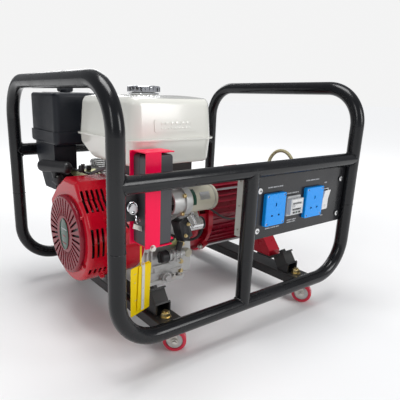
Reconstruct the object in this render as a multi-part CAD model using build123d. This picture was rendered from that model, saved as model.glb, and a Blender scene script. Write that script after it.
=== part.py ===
"""Portable generator: tube frame on casters, petrol engine, alternator and outlet panel.

Millimetres, +Z up, X along the frame with the outlet panel at the +X end, the front side
at -Y.  The origin is on the floor under the middle of the frame.
"""
from build123d import *
import math
import os

os.makedirs("parts", exist_ok=True)

# ---------------------------------------------------------------- driving dimensions
TUBE_D = 32.0            # outer diameter of the frame tube
TUBE_WALL = 2.0
FRAME_LENGTH = 671.0     # between tube centre lines, along X
FRAME_WIDTH = 536.0      # between tube centre lines, along Y
RAIL_OVER_WHEEL = 26.0   # bottom rails above the top of the caster wheels
MID_RISE = 298.0         # middle rails above the bottom rails
TOP_RISE = 467.0         # top cross tubes above the bottom rails
BEND_R = 90.0            # centre-line radius of every tube bend
WELD_RISE = 183.0        # butt weld between the U tubes and the hoops
POST_X = -21.0           # panel post

MEMBER_W = 57.0          # cross member channel
MEMBER_H = 22.0
MEMBER_T = 4.0
MEMBER_X = (-197.0, 222.0)

CASTER_Y = 222.0         # stem distance from the middle of the frame
WHEEL_D = 50.0
WHEEL_W = 20.0
CASTER_TRAIL = 20.0
CASTER_HEADINGS = (-38.0, 24.0, -58.0, -12.0)   # where each wheel trails to, degrees from +X
STEM_D = 12.0
AXLE_D = 8.0
RUN_CLEAR = 0.05         # radial clearance of a shaft that turns in its hole
BODY_GAP = 0.4           # clear space between faces of bodies that move apart

CRANK_Y = -4.0
CRANK_RISE = 141.0       # crankshaft above the bottom rails
BASE_DROP = 133.0        # crankshaft above the engine's feet
DRUM_R = 110.0           # fan cover
DRUM_X0 = -312.0
DRUM_ROUND = 10.0
LOUVRE_STEP = 11.5
LOUVRE_W = 6.0
BLOCK_X0 = -178.0        # crankcase casting
BLOCK_X1 = -58.0
BLOCK_HALF_W = 92.0
BLOCK_TOP = 78.0         # top of the crankcase above the crankshaft
COVER_X1 = -30.0
SHAFT_D = 30.0
RECOIL_R = 88.0
RECOIL_X0 = -322.0
RECOIL_ROUND = 6.0
SHELL_T = 2.5

RECOIL_SLOTS = 32
GRIP_TURN = -62.0        # starter grip, degrees from +X
GRIP_L = 92.0

HEAD_TILT = 65.0         # cylinder leans back from upright
CYL_START = 70.0         # from the crankshaft to the bottom of the cylinder
CYL_END = 165.0
HEAD_END = 205.0
VALVE_END = 232.0
FIN_STEP = 9.0
CYL_X = -118.0

STARTER_X = (-96.0, -18.0)
STARTER_Y = -142.0
STARTER_RISE = 78.0      # starter motor above the crankshaft
STARTER_R = 29.0

OIL_X = (-142.0, -74.0)  # oil filler
OIL_DROP = 58.0
OIL_R = 12.0

CARB_X = (-236.0, -177.0)
CARB_Y = 140.0
CARB_RISE = 98.0
CARB_R = 17.0

MUFFLER_X = (-34.0, 128.0)
OUTLET_IN = 24.0         # exhaust outlet from the muffler's left end
MUFFLER_Y = (112.0, 218.0)
MUFFLER_RISE = (62.0, 162.0)
EXHAUST_Y = 158.0
EXHAUST_RISE = 88.0

ALT_R = 98.0             # alternator
BELL_X1 = 30.0
STATOR_X1 = 185.0
END_X1 = 250.0
ALT_FOOT_DROP = 115.0    # alternator feet below the crankshaft

TANK_X = (-256.0, -48.0)
TANK_Y = (-180.0, 60.0)
TANK_SEAM = 217.0        # tank heights above the crankshaft
TANK_TOP = 301.0
TANK_LOW = 167.0
TANK_LIP = 6.0
TANK_WALL = 1.5
TANK_CORNER = 28.0
TANK_DRAFT = 5.0         # degrees that the pressed sides lean in
TANK_ROUND = 22.0
CAP_XY = (-113.0, 0.0)
CAP_R = 38.0
CAP_GRIPS = 24

AIR_X = (-298.0, -176.0)
AIR_Y = (80.0, 244.0)
AIR_LOW = 184.0          # air cleaner heights above the crankshaft
AIR_SPLIT = 214.0
AIR_TOP = 302.0
STUD_D = 6.0             # stud that holds the air cleaner cover

MOUNT_TILT = 35.0        # rubber mounts lean towards the engine
MOUNT_X = (-196.0, 219.0)
MOUNT_Y = 190.0
MOUNT_RISE = 14.0        # lower plate of a mount above the cross member
RUBBER_H = 28.0
RUBBER_W = 34.0

PANEL_H = 139.0
PANEL_T = 2.5
PANEL_INSET = 6.0        # face of the panel behind the middle of the front tubes
BOX_DEPTH = 42.0
SOCKET_W = 64.0
SOCKET_H = 73.0
SOCKET_X = (60.0, 196.0)
DEVICE_DROP = 92.0       # middle of the devices below the middle rail
BREAKER_X = 124.0
BREAKER_W = 44.0
BREAKER_H = 46.0
ROCKER_X = 244.0
ROCKER_W = 26.0
ROCKER_H = 52.0
TOGGLE_REST = 22.0       # degrees that the breaker's lever leans up when it is on
BREAKER_PROUD = 15.0
TOGGLE_L = 11.0

BATTERY_X = (-254.0, -193.0)
BATTERY_Y = (-230.0, -189.0)
BATTERY_H = 174.0
BATTERY_RISE = 23.0      # bottom of the battery above the crankshaft
STRAP_W = 33.0
BRACKET_T = 2.0
KEY_X = -271.0
KEY_RISE = 101.0
KEY_DEPTH = 18.0         # face of the key switch in front of the bracket
KEY_BARREL_R = 7.0

TAG_W = 60.0
TAG_H = 102.0
TAG_RISE = 20.0          # lower edge of the tag above the bottom rails
TAG_T = 1.0
TAG_X = -250.0
TAG_Y = -208.0
TAG_TURN = 20.0          # the tag hangs turned a little away from the front

LEAD_D = 9.0
LEAD_GLAND_RISE = 70.0   # top of the lead's gland above the crankshaft

# values that follow from the ones above
RAIL_Z = WHEEL_D + RAIL_OVER_WHEEL
half_l = FRAME_LENGTH / 2
half_w = FRAME_WIDTH / 2
PANEL_FACE_Y = PANEL_INSET - half_w
tube_r = TUBE_D / 2
wheel_r = WHEEL_D / 2
MID_Z = RAIL_Z + MID_RISE
TOP_Z = RAIL_Z + TOP_RISE
WELD_Z = RAIL_Z + WELD_RISE
CRANK_Z = RAIL_Z + CRANK_RISE
base_z = CRANK_Z - BASE_DROP
ALT_FOOT_Z = CRANK_Z - ALT_FOOT_DROP
TANK_SEAM_Z = CRANK_Z + TANK_SEAM
TANK_TOP_Z = CRANK_Z + TANK_TOP
TANK_LOW_Z = CRANK_Z + TANK_LOW
AIR_LOW_Z = CRANK_Z + AIR_LOW
AIR_SPLIT_Z = CRANK_Z + AIR_SPLIT
AIR_TOP_Z = CRANK_Z + AIR_TOP
MOUNT_Z = RAIL_Z + MOUNT_RISE
PANEL_Z = (MID_Z - tube_r - 1 - PANEL_H, MID_Z - tube_r - 1)
DEVICE_Z = MID_Z - DEVICE_DROP
BATTERY_Z = (CRANK_Z + BATTERY_RISE, CRANK_Z + BATTERY_RISE + BATTERY_H)
KEY_Z = CRANK_Z + KEY_RISE
KEY_FACE_Y = BATTERY_Y[1] - KEY_DEPTH
STARTER_Z = CRANK_Z + STARTER_RISE
CARB_Z = CRANK_Z + CARB_RISE
OIL_Y = CRANK_Y - BLOCK_HALF_W - OIL_R - 6
OIL_Z = CRANK_Z - OIL_DROP
GRIP_AT = (-300.0, 92.0, CRANK_Z + 135.0)
LEAD_GLAND = (238.0, -80.0, CRANK_Z + LEAD_GLAND_RISE)
LEAD_POINTS = [
    (238.0, -80.0, CRANK_Z + 92.0),
    (243.0, -77.0, CRANK_Z + 119.0),
    (249.0, -81.0, CRANK_Z + 146.0),
    (252.0, -99.0, CRANK_Z + 164.0),
    (255.0, -125.0, CRANK_Z + 165.0),
    (257.0, -146.0, CRANK_Z + 147.0),
    (259.0, -155.0, CRANK_Z + 121.0),
    (260.0, -172.0, CRANK_Z + 100.0),
    (260.0, -197.0, CRANK_Z + 91.0),
]


# ---------------------------------------------------------------- small helpers
def block(x0, x1, y0, y1, z0, z1):
    """Box between two corners."""
    return Pos((x0 + x1) / 2, (y0 + y1) / 2, (z0 + z1) / 2) * Box(x1 - x0, y1 - y0, z1 - z0)


def rod_x(radius, x0, x1, y, z):
    """Solid cylinder along X."""
    return Pos((x0 + x1) / 2, y, z) * Rot(0, 90, 0) * Cylinder(radius, x1 - x0)


def rod_y(radius, y0, y1, x, z):
    """Solid cylinder along Y."""
    return Pos(x, (y0 + y1) / 2, z) * Rot(90, 0, 0) * Cylinder(radius, y1 - y0)


def rod_z(radius, z0, z1, x, y):
    """Solid cylinder along Z."""
    return Pos(x, y, (z0 + z1) / 2) * Cylinder(radius, z1 - z0)


def yz_profile(points, x0, x1):
    """Closed outline in the YZ plane, given as (y, z) points, extruded from x0 to x1."""
    plane = Plane(origin=(x0, 0, 0), x_dir=(0, 1, 0), z_dir=(1, 0, 0))
    return extrude(plane * make_face(Polyline(*points, close=True)), amount=x1 - x0)


def xz_profile(points, y0, y1):
    """Closed outline in the XZ plane, given as (x, z) points, extruded from y0 to y1."""
    plane = Plane(origin=(0, y1, 0), x_dir=(1, 0, 0), z_dir=(0, -1, 0))
    return extrude(plane * make_face(Polyline(*points, close=True)), amount=y1 - y0)


def soften(shape, radius, axis=None, pick=None):
    """Round the edges along an axis, or the ones that pick chooses."""
    edges = shape.edges()
    if axis is not None:
        edges = edges.filter_by(axis)
    if pick is not None:
        edges = edges.filter_by(pick)
    return fillet(edges, radius)


def save(shape, name):
    """Write one sub-part."""
    shape.label = name
    export_step(shape, f"parts/{name}.step")


def bent_tube(points):
    """Hollow frame tube along a filleted path."""
    path = FilletPolyline(*points, radius=BEND_R)
    start = Plane(origin=path @ 0, z_dir=path % 0)
    section = start * (Circle(tube_r) - Circle(tube_r - TUBE_WALL))
    return sweep(section, path=path)


def mirror_y(shape):
    return mirror(shape, about=Plane.XZ)


# ---------------------------------------------------------------- frame
def make_frame():
    u_points = [
        (-half_l, -half_w, WELD_Z),
        (-half_l, -half_w, RAIL_Z),
        (half_l, -half_w, RAIL_Z),
        (half_l, -half_w, WELD_Z),
    ]
    front = bent_tube(u_points)
    save(front, "frame_front_tube")
    save(mirror_y(front), "frame_rear_tube")

    for name, side in (("frame_left_hoop", -1), ("frame_right_hoop", 1)):
        hoop_points = [
            (side * half_l, -half_w, WELD_Z),
            (side * half_l, -half_w, TOP_Z),
            (side * half_l, half_w, TOP_Z),
            (side * half_l, half_w, WELD_Z),
        ]
        save(bent_tube(hoop_points), name)

    # the middle rails are coped to sit on the upright tubes
    rail = rod_x(tube_r, -half_l, half_l, -half_w, MID_Z)
    rail -= rod_x(tube_r - TUBE_WALL, -half_l, half_l, -half_w, MID_Z)
    for side in (-1, 1):
        rail -= rod_z(tube_r, WELD_Z, TOP_Z, side * half_l, -half_w)
    save(rail, "front_mid_rail")
    save(mirror_y(rail), "rear_mid_rail")

    post = rod_z(tube_r, RAIL_Z, MID_Z, POST_X, -half_w)
    post -= rod_z(tube_r - TUBE_WALL, RAIL_Z, MID_Z, POST_X, -half_w)
    post -= rod_x(tube_r, POST_X - TUBE_D, POST_X + TUBE_D, -half_w, RAIL_Z)
    post -= rod_x(tube_r, POST_X - TUBE_D, POST_X + TUBE_D, -half_w, MID_Z)
    save(post, "panel_post")

    # channels across the frame, open below, welded between the bottom rails
    for name, centre in zip(("left_cross_member", "right_cross_member"), MEMBER_X):
        reach = half_w - 10
        x0 = centre - MEMBER_W / 2
        x1 = centre + MEMBER_W / 2
        channel = block(x0, x1, -reach, reach, RAIL_Z - MEMBER_H, RAIL_Z)
        channel = soften(channel, 3, pick=lambda e: e.center().Z > RAIL_Z - 1 and abs(e.center().X - centre) > 5)
        channel -= block(
            x0 + MEMBER_T, x1 - MEMBER_T, -reach, reach, RAIL_Z - MEMBER_H, RAIL_Z - MEMBER_T
        )
        for side in (-1, 1):
            channel -= rod_x(tube_r, x0, x1, side * half_w, RAIL_Z)
            channel -= rod_z(STEM_D / 2, 0, 100, centre, side * CASTER_Y)
        save(channel, name)


# ---------------------------------------------------------------- casters
def caster_places():
    for x in MEMBER_X:
        for side in (-1, 1):
            yield x, side * CASTER_Y


def make_casters():
    web_low = RAIL_Z - MEMBER_T
    race_low = web_low - 8
    plate_top = race_low - 0.3
    plate_low = plate_top - 3
    head_low = plate_low - 3.3
    leg_in = WHEEL_W / 2 + 1.5
    leg_t = 2.5

    stems = []
    for x, y in caster_places():
        stem = rod_z(STEM_D / 2, head_low, RAIL_Z + 14, x, y)
        stem += rod_z(17, race_low, web_low, x, y)
        stem += rod_z(9, head_low, head_low + 3, x, y)
        stem += rod_z(12, RAIL_Z, RAIL_Z + 2, x, y)
        nut = Pos(x, y, RAIL_Z + 2) * extrude(RegularPolygon(10.2, 6), amount=9)
        stem += chamfer(nut.edges().group_by(Axis.Z)[-1], 1.2)
        stems.append(stem)
    save(Compound(stems), "caster_stems")

    # the fork and the wheel are drawn with the wheel trailing along +X, then turned
    top = rod_z(20, plate_low, plate_top, 0, 0)
    top -= rod_z(STEM_D / 2 + RUN_CLEAR, plate_low, plate_top, 0, 0)
    fork = top
    for side in (-1, 1):
        y0 = side * (leg_in + leg_t / 2) - leg_t / 2
        leg_points = [
            (-13, plate_top),
            (13, plate_top),
            (CASTER_TRAIL + 9, wheel_r + 4),
            (CASTER_TRAIL + 9, wheel_r - 9),
            (CASTER_TRAIL - 9, wheel_r - 9),
            (-12, plate_low - 10),
        ]
        leg = xz_profile(leg_points, y0, y0 + leg_t)
        leg = soften(leg, 5, Axis.Y)
        fork += leg
        fork += rod_y(AXLE_D / 2 + 2.5, y0 - 2 if side < 0 else y0 + leg_t, y0 if side < 0
                      else y0 + leg_t + 2, CASTER_TRAIL, wheel_r)
    fork += block(-13, 13, -leg_in - leg_t, leg_in + leg_t, plate_low, plate_top)
    fork -= rod_z(STEM_D / 2 + RUN_CLEAR, plate_low, plate_top, 0, 0)
    fork += rod_y(AXLE_D / 2, -leg_in - 1, leg_in + 1, CASTER_TRAIL, wheel_r)

    wheel = rod_y(wheel_r, -WHEEL_W / 2, WHEEL_W / 2, CASTER_TRAIL, wheel_r)
    wheel = fillet(wheel.edges().filter_by(GeomType.CIRCLE), 3)
    for side in (-1, 1):
        dish_y = side * WHEEL_W / 2
        dish = rod_y(wheel_r - 7, dish_y - 3, dish_y + 3, CASTER_TRAIL, wheel_r)
        dish -= rod_y(8, dish_y - 3, dish_y + 3, CASTER_TRAIL, wheel_r)
        wheel -= dish
    wheel -= rod_y(AXLE_D / 2 + RUN_CLEAR, -WHEEL_W, WHEEL_W, CASTER_TRAIL, wheel_r)

    for number, (x, y) in enumerate(caster_places()):
        place = Pos(x, y, 0) * Rot(0, 0, CASTER_HEADINGS[number])
        save(place * fork, f"caster_fork_{number + 1}")
        save(place * wheel, f"caster_wheel_{number + 1}")


# ---------------------------------------------------------------- rubber mounts
def mount_parts(x, drop_z, inner_y, plate_x1):
    """Wedge bracket, rubber block and upper arm of a front mount, as three solids."""
    tilt = math.radians(MOUNT_TILT)
    up = (math.sin(tilt), math.cos(tilt))
    along = (math.cos(tilt), -math.sin(tilt))
    plate_t = 4.0
    reach = 24.0

    def at(a, u):
        return (-MOUNT_Y + a * along[0] + u * up[0], MOUNT_Z + a * along[1] + u * up[1])

    half = RUBBER_W / 2 + 2
    low_plate = [at(-reach, -plate_t), at(reach - 8, -plate_t), at(reach - 8, 0), at(-reach, 0)]
    wedge = yz_profile(low_plate, x - half, x + half)
    web_t = 4.0
    foot_y = at(reach - 8, -plate_t)[0]
    web_points = [
        at(-reach, -plate_t),
        (at(-reach, -plate_t)[0], RAIL_Z),
        (foot_y, RAIL_Z),
        at(reach - 8, -plate_t),
    ]
    for web_x in (x - half, x + half - web_t):
        wedge += yz_profile(web_points, web_x, web_x + web_t)
    wedge += block(x - half, x + half, at(-reach, 0)[0], foot_y, RAIL_Z, RAIL_Z + 1.5)

    rubber_points = [at(-20, 0), at(16, 0), at(16, RUBBER_H), at(-20, RUBBER_H)]
    rubber = yz_profile(rubber_points, x - RUBBER_W / 2, x + RUBBER_W / 2)

    top_end = at(reach, RUBBER_H)
    top_end_high = at(reach, RUBBER_H + plate_t)
    arm_points = [
        at(-reach, RUBBER_H),
        top_end,
        (top_end[0] + (top_end[1] - drop_z + plate_t) * 0.8, drop_z - plate_t),
        (inner_y, drop_z - plate_t),
        (inner_y, drop_z),
        (top_end_high[0] + (top_end_high[1] - drop_z) * 0.8, drop_z),
        top_end_high,
        at(-reach, RUBBER_H + plate_t),
    ]
    arm = yz_profile(arm_points, x - half, x + half)
    arm += block(x - half, plate_x1, inner_y - 34, inner_y, drop_z - plate_t, drop_z)
    bolt_y, bolt_z = at(-6, RUBBER_H + plate_t)
    bolt = Pos(x, bolt_y, bolt_z) * Rot(-MOUNT_TILT, 0, 0) * extrude(RegularPolygon(9, 6), amount=7)
    return wedge, rubber, arm + bolt


def make_mounts():
    brackets = []
    rubbers = []
    heights = (base_z, ALT_FOOT_Z)
    ends = (-BLOCK_HALF_W + 30, -104.0)
    plates = (BLOCK_X0 + 50, STATOR_X1 + 57)
    for x, drop_z, inner_y, plate_x1 in zip(MOUNT_X, heights, ends, plates):
        wedge, rubber, arm = mount_parts(x, drop_z, inner_y, plate_x1)
        brackets += [wedge, arm, mirror_y(wedge), mirror_y(arm)]
        rubbers += [rubber, mirror_y(rubber)]
    save(Compound(brackets), "mount_brackets")
    save(Compound(rubbers), "mount_rubbers")


# ---------------------------------------------------------------- engine
def along_cylinder(shape):
    """Turn a shape drawn upright over the crankshaft to the cylinder's slant."""
    return Pos(CYL_X, CRANK_Y, CRANK_Z) * Rot(-HEAD_TILT, 0, 0) * shape


def make_crankcase():
    top_z = CRANK_Z + BLOCK_TOP
    outline = [
        (CRANK_Y - BLOCK_HALF_W, base_z),
        (CRANK_Y + BLOCK_HALF_W, base_z),
        (CRANK_Y + BLOCK_HALF_W, base_z + 62),
        (CRANK_Y + BLOCK_HALF_W - 12, top_z - 40),
        (CRANK_Y + 40, top_z),
        (CRANK_Y - 45, top_z),
        (CRANK_Y - BLOCK_HALF_W + 10, top_z - 30),
        (CRANK_Y - BLOCK_HALF_W, base_z + 55),
    ]
    case = yz_profile(outline, BLOCK_X0, BLOCK_X1)
    case = soften(case, 9, Axis.X)
    # stiffening ribs along the front and the back, and the foot flange
    for rib_z in (base_z + 26, base_z + 44):
        case += block(BLOCK_X0 + 4, BLOCK_X1 - 4, CRANK_Y - BLOCK_HALF_W - 4,
                      CRANK_Y + BLOCK_HALF_W + 4, rib_z, rib_z + 5)
    case += block(BLOCK_X0, BLOCK_X1, CRANK_Y - BLOCK_HALF_W - 6, CRANK_Y + BLOCK_HALF_W + 6,
                  base_z, base_z + 11)
    # boss of the drain plug, and the plug
    case += rod_y(13, CRANK_Y - BLOCK_HALF_W - 12, CRANK_Y - BLOCK_HALF_W, BLOCK_X0 + 66, base_z + 16)
    plug = Pos(BLOCK_X0 + 66, CRANK_Y - BLOCK_HALF_W - 12, base_z + 16) * Rot(90, 0, 0)
    case += plug * extrude(RegularPolygon(9, 6), amount=7)
    # pocket of the crank throw, then the hollow of the case
    inner = [
        (CRANK_Y - BLOCK_HALF_W + 8, base_z + 8),
        (CRANK_Y + BLOCK_HALF_W - 8, base_z + 8),
        (CRANK_Y + BLOCK_HALF_W - 20, top_z - 46),
        (CRANK_Y + 34, top_z - 8),
        (CRANK_Y - 40, top_z - 8),
        (CRANK_Y - BLOCK_HALF_W + 18, top_z - 38),
    ]
    case -= yz_profile(inner, BLOCK_X0 + 8, BLOCK_X1)
    case -= rod_x(SHAFT_D / 2 + RUN_CLEAR, BLOCK_X0 - 1, BLOCK_X0 + 10, CRANK_Y, CRANK_Z)
    # oil filler neck lying along the front, open towards the fan
    front = CRANK_Y - BLOCK_HALF_W
    neck = rod_x(OIL_R, OIL_X[0] + 22, OIL_X[1], OIL_Y, OIL_Z)
    neck += rod_x(OIL_R + 3, OIL_X[0] + 34, OIL_X[0] + 40, OIL_Y, OIL_Z)
    neck += block(OIL_X[1] - 30, OIL_X[1], OIL_Y, front + 6, OIL_Z - 10, OIL_Z + 10)
    neck -= rod_x(OIL_R - 3, OIL_X[0], OIL_X[1] - 12, OIL_Y, OIL_Z)
    case += neck
    save(case, "crankcase")

    # side cover that carries the outer main bearing and the alternator
    cover = yz_profile(
        [(y * 0.94 + CRANK_Y * 0.06, (z - CRANK_Z) * 0.94 + CRANK_Z) for y, z in outline],
        BLOCK_X1, COVER_X1)
    cover = soften(cover, 10, Axis.X)
    for angle in range(0, 360, 45):
        boss_y = CRANK_Y + 70 * math.cos(math.radians(angle + 22.5))
        boss_z = CRANK_Z + 60 * math.sin(math.radians(angle + 22.5))
        cover += rod_x(8, BLOCK_X1 + 2, COVER_X1, boss_y, boss_z)
    cover -= rod_x(60, BLOCK_X1 - 1, COVER_X1 - 8, CRANK_Y, CRANK_Z)
    cover -= rod_x(SHAFT_D / 2 + RUN_CLEAR, BLOCK_X1, COVER_X1 + 1, CRANK_Y, CRANK_Z)
    save(cover, "crankcase_cover")


def make_cylinder():
    barrel = Pos(0, 0, (CYL_START + CYL_END) / 2) * Box(96, 100, CYL_END - CYL_START)
    count = int((CYL_END - CYL_START - 12) / FIN_STEP)
    head = Pos(0, 0, (CYL_END + HEAD_END) / 2) * Box(104, 108, HEAD_END - CYL_END)
    whole = barrel + head
    for i in range(count + 4):
        fin_z = CYL_START + 16 + i * FIN_STEP
        whole += Pos(0, 0, fin_z) * Box(118, 122, 3)
    whole = along_cylinder(whole)
    # the barrel's foot is cut to the slope of the crankcase
    keep_out = yz_profile(
        [(CRANK_Y - 200, base_z - 10), (CRANK_Y + BLOCK_HALF_W, base_z - 10),
         (CRANK_Y + BLOCK_HALF_W, base_z + 62), (CRANK_Y + BLOCK_HALF_W - 12, CRANK_Z + 38),
         (CRANK_Y + 40, CRANK_Z + BLOCK_TOP), (CRANK_Y - 200, CRANK_Z + BLOCK_TOP)],
        BLOCK_X0 - 20, BLOCK_X1 + 20)
    whole -= keep_out
    whole -= block(-400, BLOCK_X0 + 1, 0, 400, 0, 400)
    save(whole.solids().sort_by(SortBy.VOLUME)[-1], "cylinder_head")

    cover = Pos(0, 0, (HEAD_END + VALVE_END) / 2) * Box(92, 84, VALVE_END - HEAD_END)
    cover = soften(cover, 12, Axis.Z)
    cover = fillet(cover.edges().group_by(Axis.Z)[-1], 6)
    save(along_cylinder(cover), "valve_cover")


def fan_outline(grow):
    """Solid of the fan cover's outside, or of its inside when grow is negative."""
    x0 = DRUM_X0 - min(grow, 0)
    rounding = DRUM_ROUND + grow
    drum = rod_x(DRUM_R + grow, x0, BLOCK_X0, CRANK_Y, CRANK_Z)
    hood = yz_profile(
        [(CRANK_Y - 60 - grow, CRANK_Z), (CRANK_Y + 84 + grow, CRANK_Z),
         (CRANK_Y + 104 + grow, CRANK_Z + 60), (CRANK_Y + 62, CRANK_Z + 98 + grow),
         (CRANK_Y + 18, CRANK_Z + 124 + grow), (CRANK_Y - 46, CRANK_Z + 124 + grow),
         (CRANK_Y - 68 - grow, CRANK_Z + 90)],
        x0, BLOCK_X0)
    whole = drum + hood
    front = whole.edges().filter_by(lambda e: abs(e.center().X - x0) < 0.1)
    return fillet(front, rounding)


def make_fan_cover():
    shell = fan_outline(0.0)
    shell -= fan_outline(-SHELL_T)
    # intake opening behind the recoil starter
    shell -= rod_x(RECOIL_R - 8, DRUM_X0 - 1, DRUM_X0 + 6, CRANK_Y, CRANK_Z)
    # louvres on the front flank: upright ones, slanted ones above, short ones below
    for turn, height, count in ((2, 62, 4), (50, 50, 5), (-36, 18, 4)):
        for i in range(count):
            slot = Pos(DRUM_X0 + 8 + i * LOUVRE_STEP, -DRUM_R, 0) * Box(LOUVRE_W, 26, height)
            shell -= Pos(0, CRANK_Y, CRANK_Z) * Rot(-turn, 0, 0) * slot
    # bosses with the cover bolts
    for turn in (28, -50):
        boss = Pos(DRUM_X0 + 44, -DRUM_R + 1, 0) * Rot(90, 0, 0) * Cylinder(7, 6)
        boss += Pos(DRUM_X0 + 44, -DRUM_R - 2, 0) * Rot(90, 0, 0) * extrude(RegularPolygon(5.5, 6), amount=5)
        shell += Pos(0, CRANK_Y, CRANK_Z) * Rot(-turn, 0, 0) * boss
    save(shell.solids().sort_by(SortBy.VOLUME)[-1], "fan_cover")

    dish = rod_x(RECOIL_R, RECOIL_X0, DRUM_X0, CRANK_Y, CRANK_Z)
    dish = fillet(dish.edges().filter_by(lambda e: e.center().X < RECOIL_X0 + 0.5), RECOIL_ROUND)
    hollow = rod_x(RECOIL_R - SHELL_T, RECOIL_X0 + SHELL_T, DRUM_X0, CRANK_Y, CRANK_Z)
    rim = hollow.edges().filter_by(lambda e: e.center().X < RECOIL_X0 + SHELL_T + 0.5)
    dish -= fillet(rim, RECOIL_ROUND - SHELL_T)
    # a ring of air slots round the hub
    for i in range(RECOIL_SLOTS):
        slot = Pos(0, 0, (RECOIL_R + 36) / 2 - 1) * Box(30, 5.2, RECOIL_R - 36 - 12)
        dish -= Pos(RECOIL_X0, CRANK_Y, CRANK_Z) * Rot(i * 360 / RECOIL_SLOTS, 0, 0) * slot
    # boss that the rope pulley turns on
    dish += rod_x(8, RECOIL_X0 + 1, RECOIL_X0 + 17, CRANK_Y, CRANK_Z)
    save(dish, "recoil_cover")

    pulley = rod_x(RECOIL_R - 14, RECOIL_X0 + 5, RECOIL_X0 + 15, CRANK_Y, CRANK_Z)
    groove = rod_x(RECOIL_R - 8, RECOIL_X0 + 7.5, RECOIL_X0 + 12.5, CRANK_Y, CRANK_Z)
    groove -= rod_x(RECOIL_R - 26, RECOIL_X0 + 7.5, RECOIL_X0 + 12.5, CRANK_Y, CRANK_Z)
    pulley -= groove
    pulley -= rod_x(8 + RUN_CLEAR, RECOIL_X0, RECOIL_X0 + 20, CRANK_Y, CRANK_Z)
    for i in range(3):
        hole_y = CRANK_Y + 34 * math.cos(math.radians(i * 120))
        hole_z = CRANK_Z + 34 * math.sin(math.radians(i * 120))
        pulley -= rod_x(9, RECOIL_X0, RECOIL_X0 + 20, hole_y, hole_z)
    save(pulley, "recoil_pulley")


def make_grip():
    bar = Cylinder(14, GRIP_L)
    bar = fillet(bar.edges().filter_by(GeomType.CIRCLE), 10)
    bar = Rot(0, 90, 0) * bar
    place = Pos(*GRIP_AT) * Rot(0, 0, GRIP_TURN)
    neck = Pos(0, 0, -19) * Cone(6, 9, 14)
    grip = place * (bar + neck)
    save(grip, "starter_grip")


def make_rotating():
    shaft = rod_x(SHAFT_D / 2, DRUM_X0 + 10, END_X1 - 22, CRANK_Y, CRANK_Z)
    for cheek_x in (CYL_X - 26, CYL_X + 14):
        cheek = rod_x(44, cheek_x, cheek_x + 12, CRANK_Y, CRANK_Z)
        shaft += cheek
    shaft += rod_x(15, CYL_X - 14, CYL_X + 14, CRANK_Y, CRANK_Z + 26)
    shaft -= rod_x(20, CYL_X - 14, CYL_X + 14, CRANK_Y, CRANK_Z - 4) & rod_x(
        SHAFT_D, CYL_X - 14, CYL_X + 14, CRANK_Y, CRANK_Z - 14)
    save(shaft.solids().sort_by(SortBy.VOLUME)[-1] if len(shaft.solids()) > 1 else shaft, "crankshaft")

    wheel = rod_x(DRUM_R - 14, DRUM_X0 + 52, DRUM_X0 + 76, CRANK_Y, CRANK_Z)
    wheel += rod_x(40, DRUM_X0 + 14, DRUM_X0 + 52, CRANK_Y, CRANK_Z)
    for i in range(16):
        blade = Pos(DRUM_X0 + 35, 0, 66) * Rot(0, 0, 18) * Box(36, 3, 50)
        wheel += Pos(0, CRANK_Y, CRANK_Z) * Rot(i * 22.5, 0, 0) * blade
    wheel -= rod_x(SHAFT_D / 2, DRUM_X0, DRUM_X0 + 90, CRANK_Y, CRANK_Z)
    save(wheel, "flywheel")

    rotor = rod_x(ALT_R - 34, BELL_X1 + 26, STATOR_X1 - 22, CRANK_Y, CRANK_Z)
    rotor -= rod_x(SHAFT_D / 2, BELL_X1, STATOR_X1, CRANK_Y, CRANK_Z)
    for side in (-1, 1):
        rotor -= block(BELL_X1, STATOR_X1, CRANK_Y + side * 58 - 16, CRANK_Y + side * 58 + 16,
                       CRANK_Z - 24, CRANK_Z + 24)
    save(rotor, "alternator_rotor")


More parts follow.
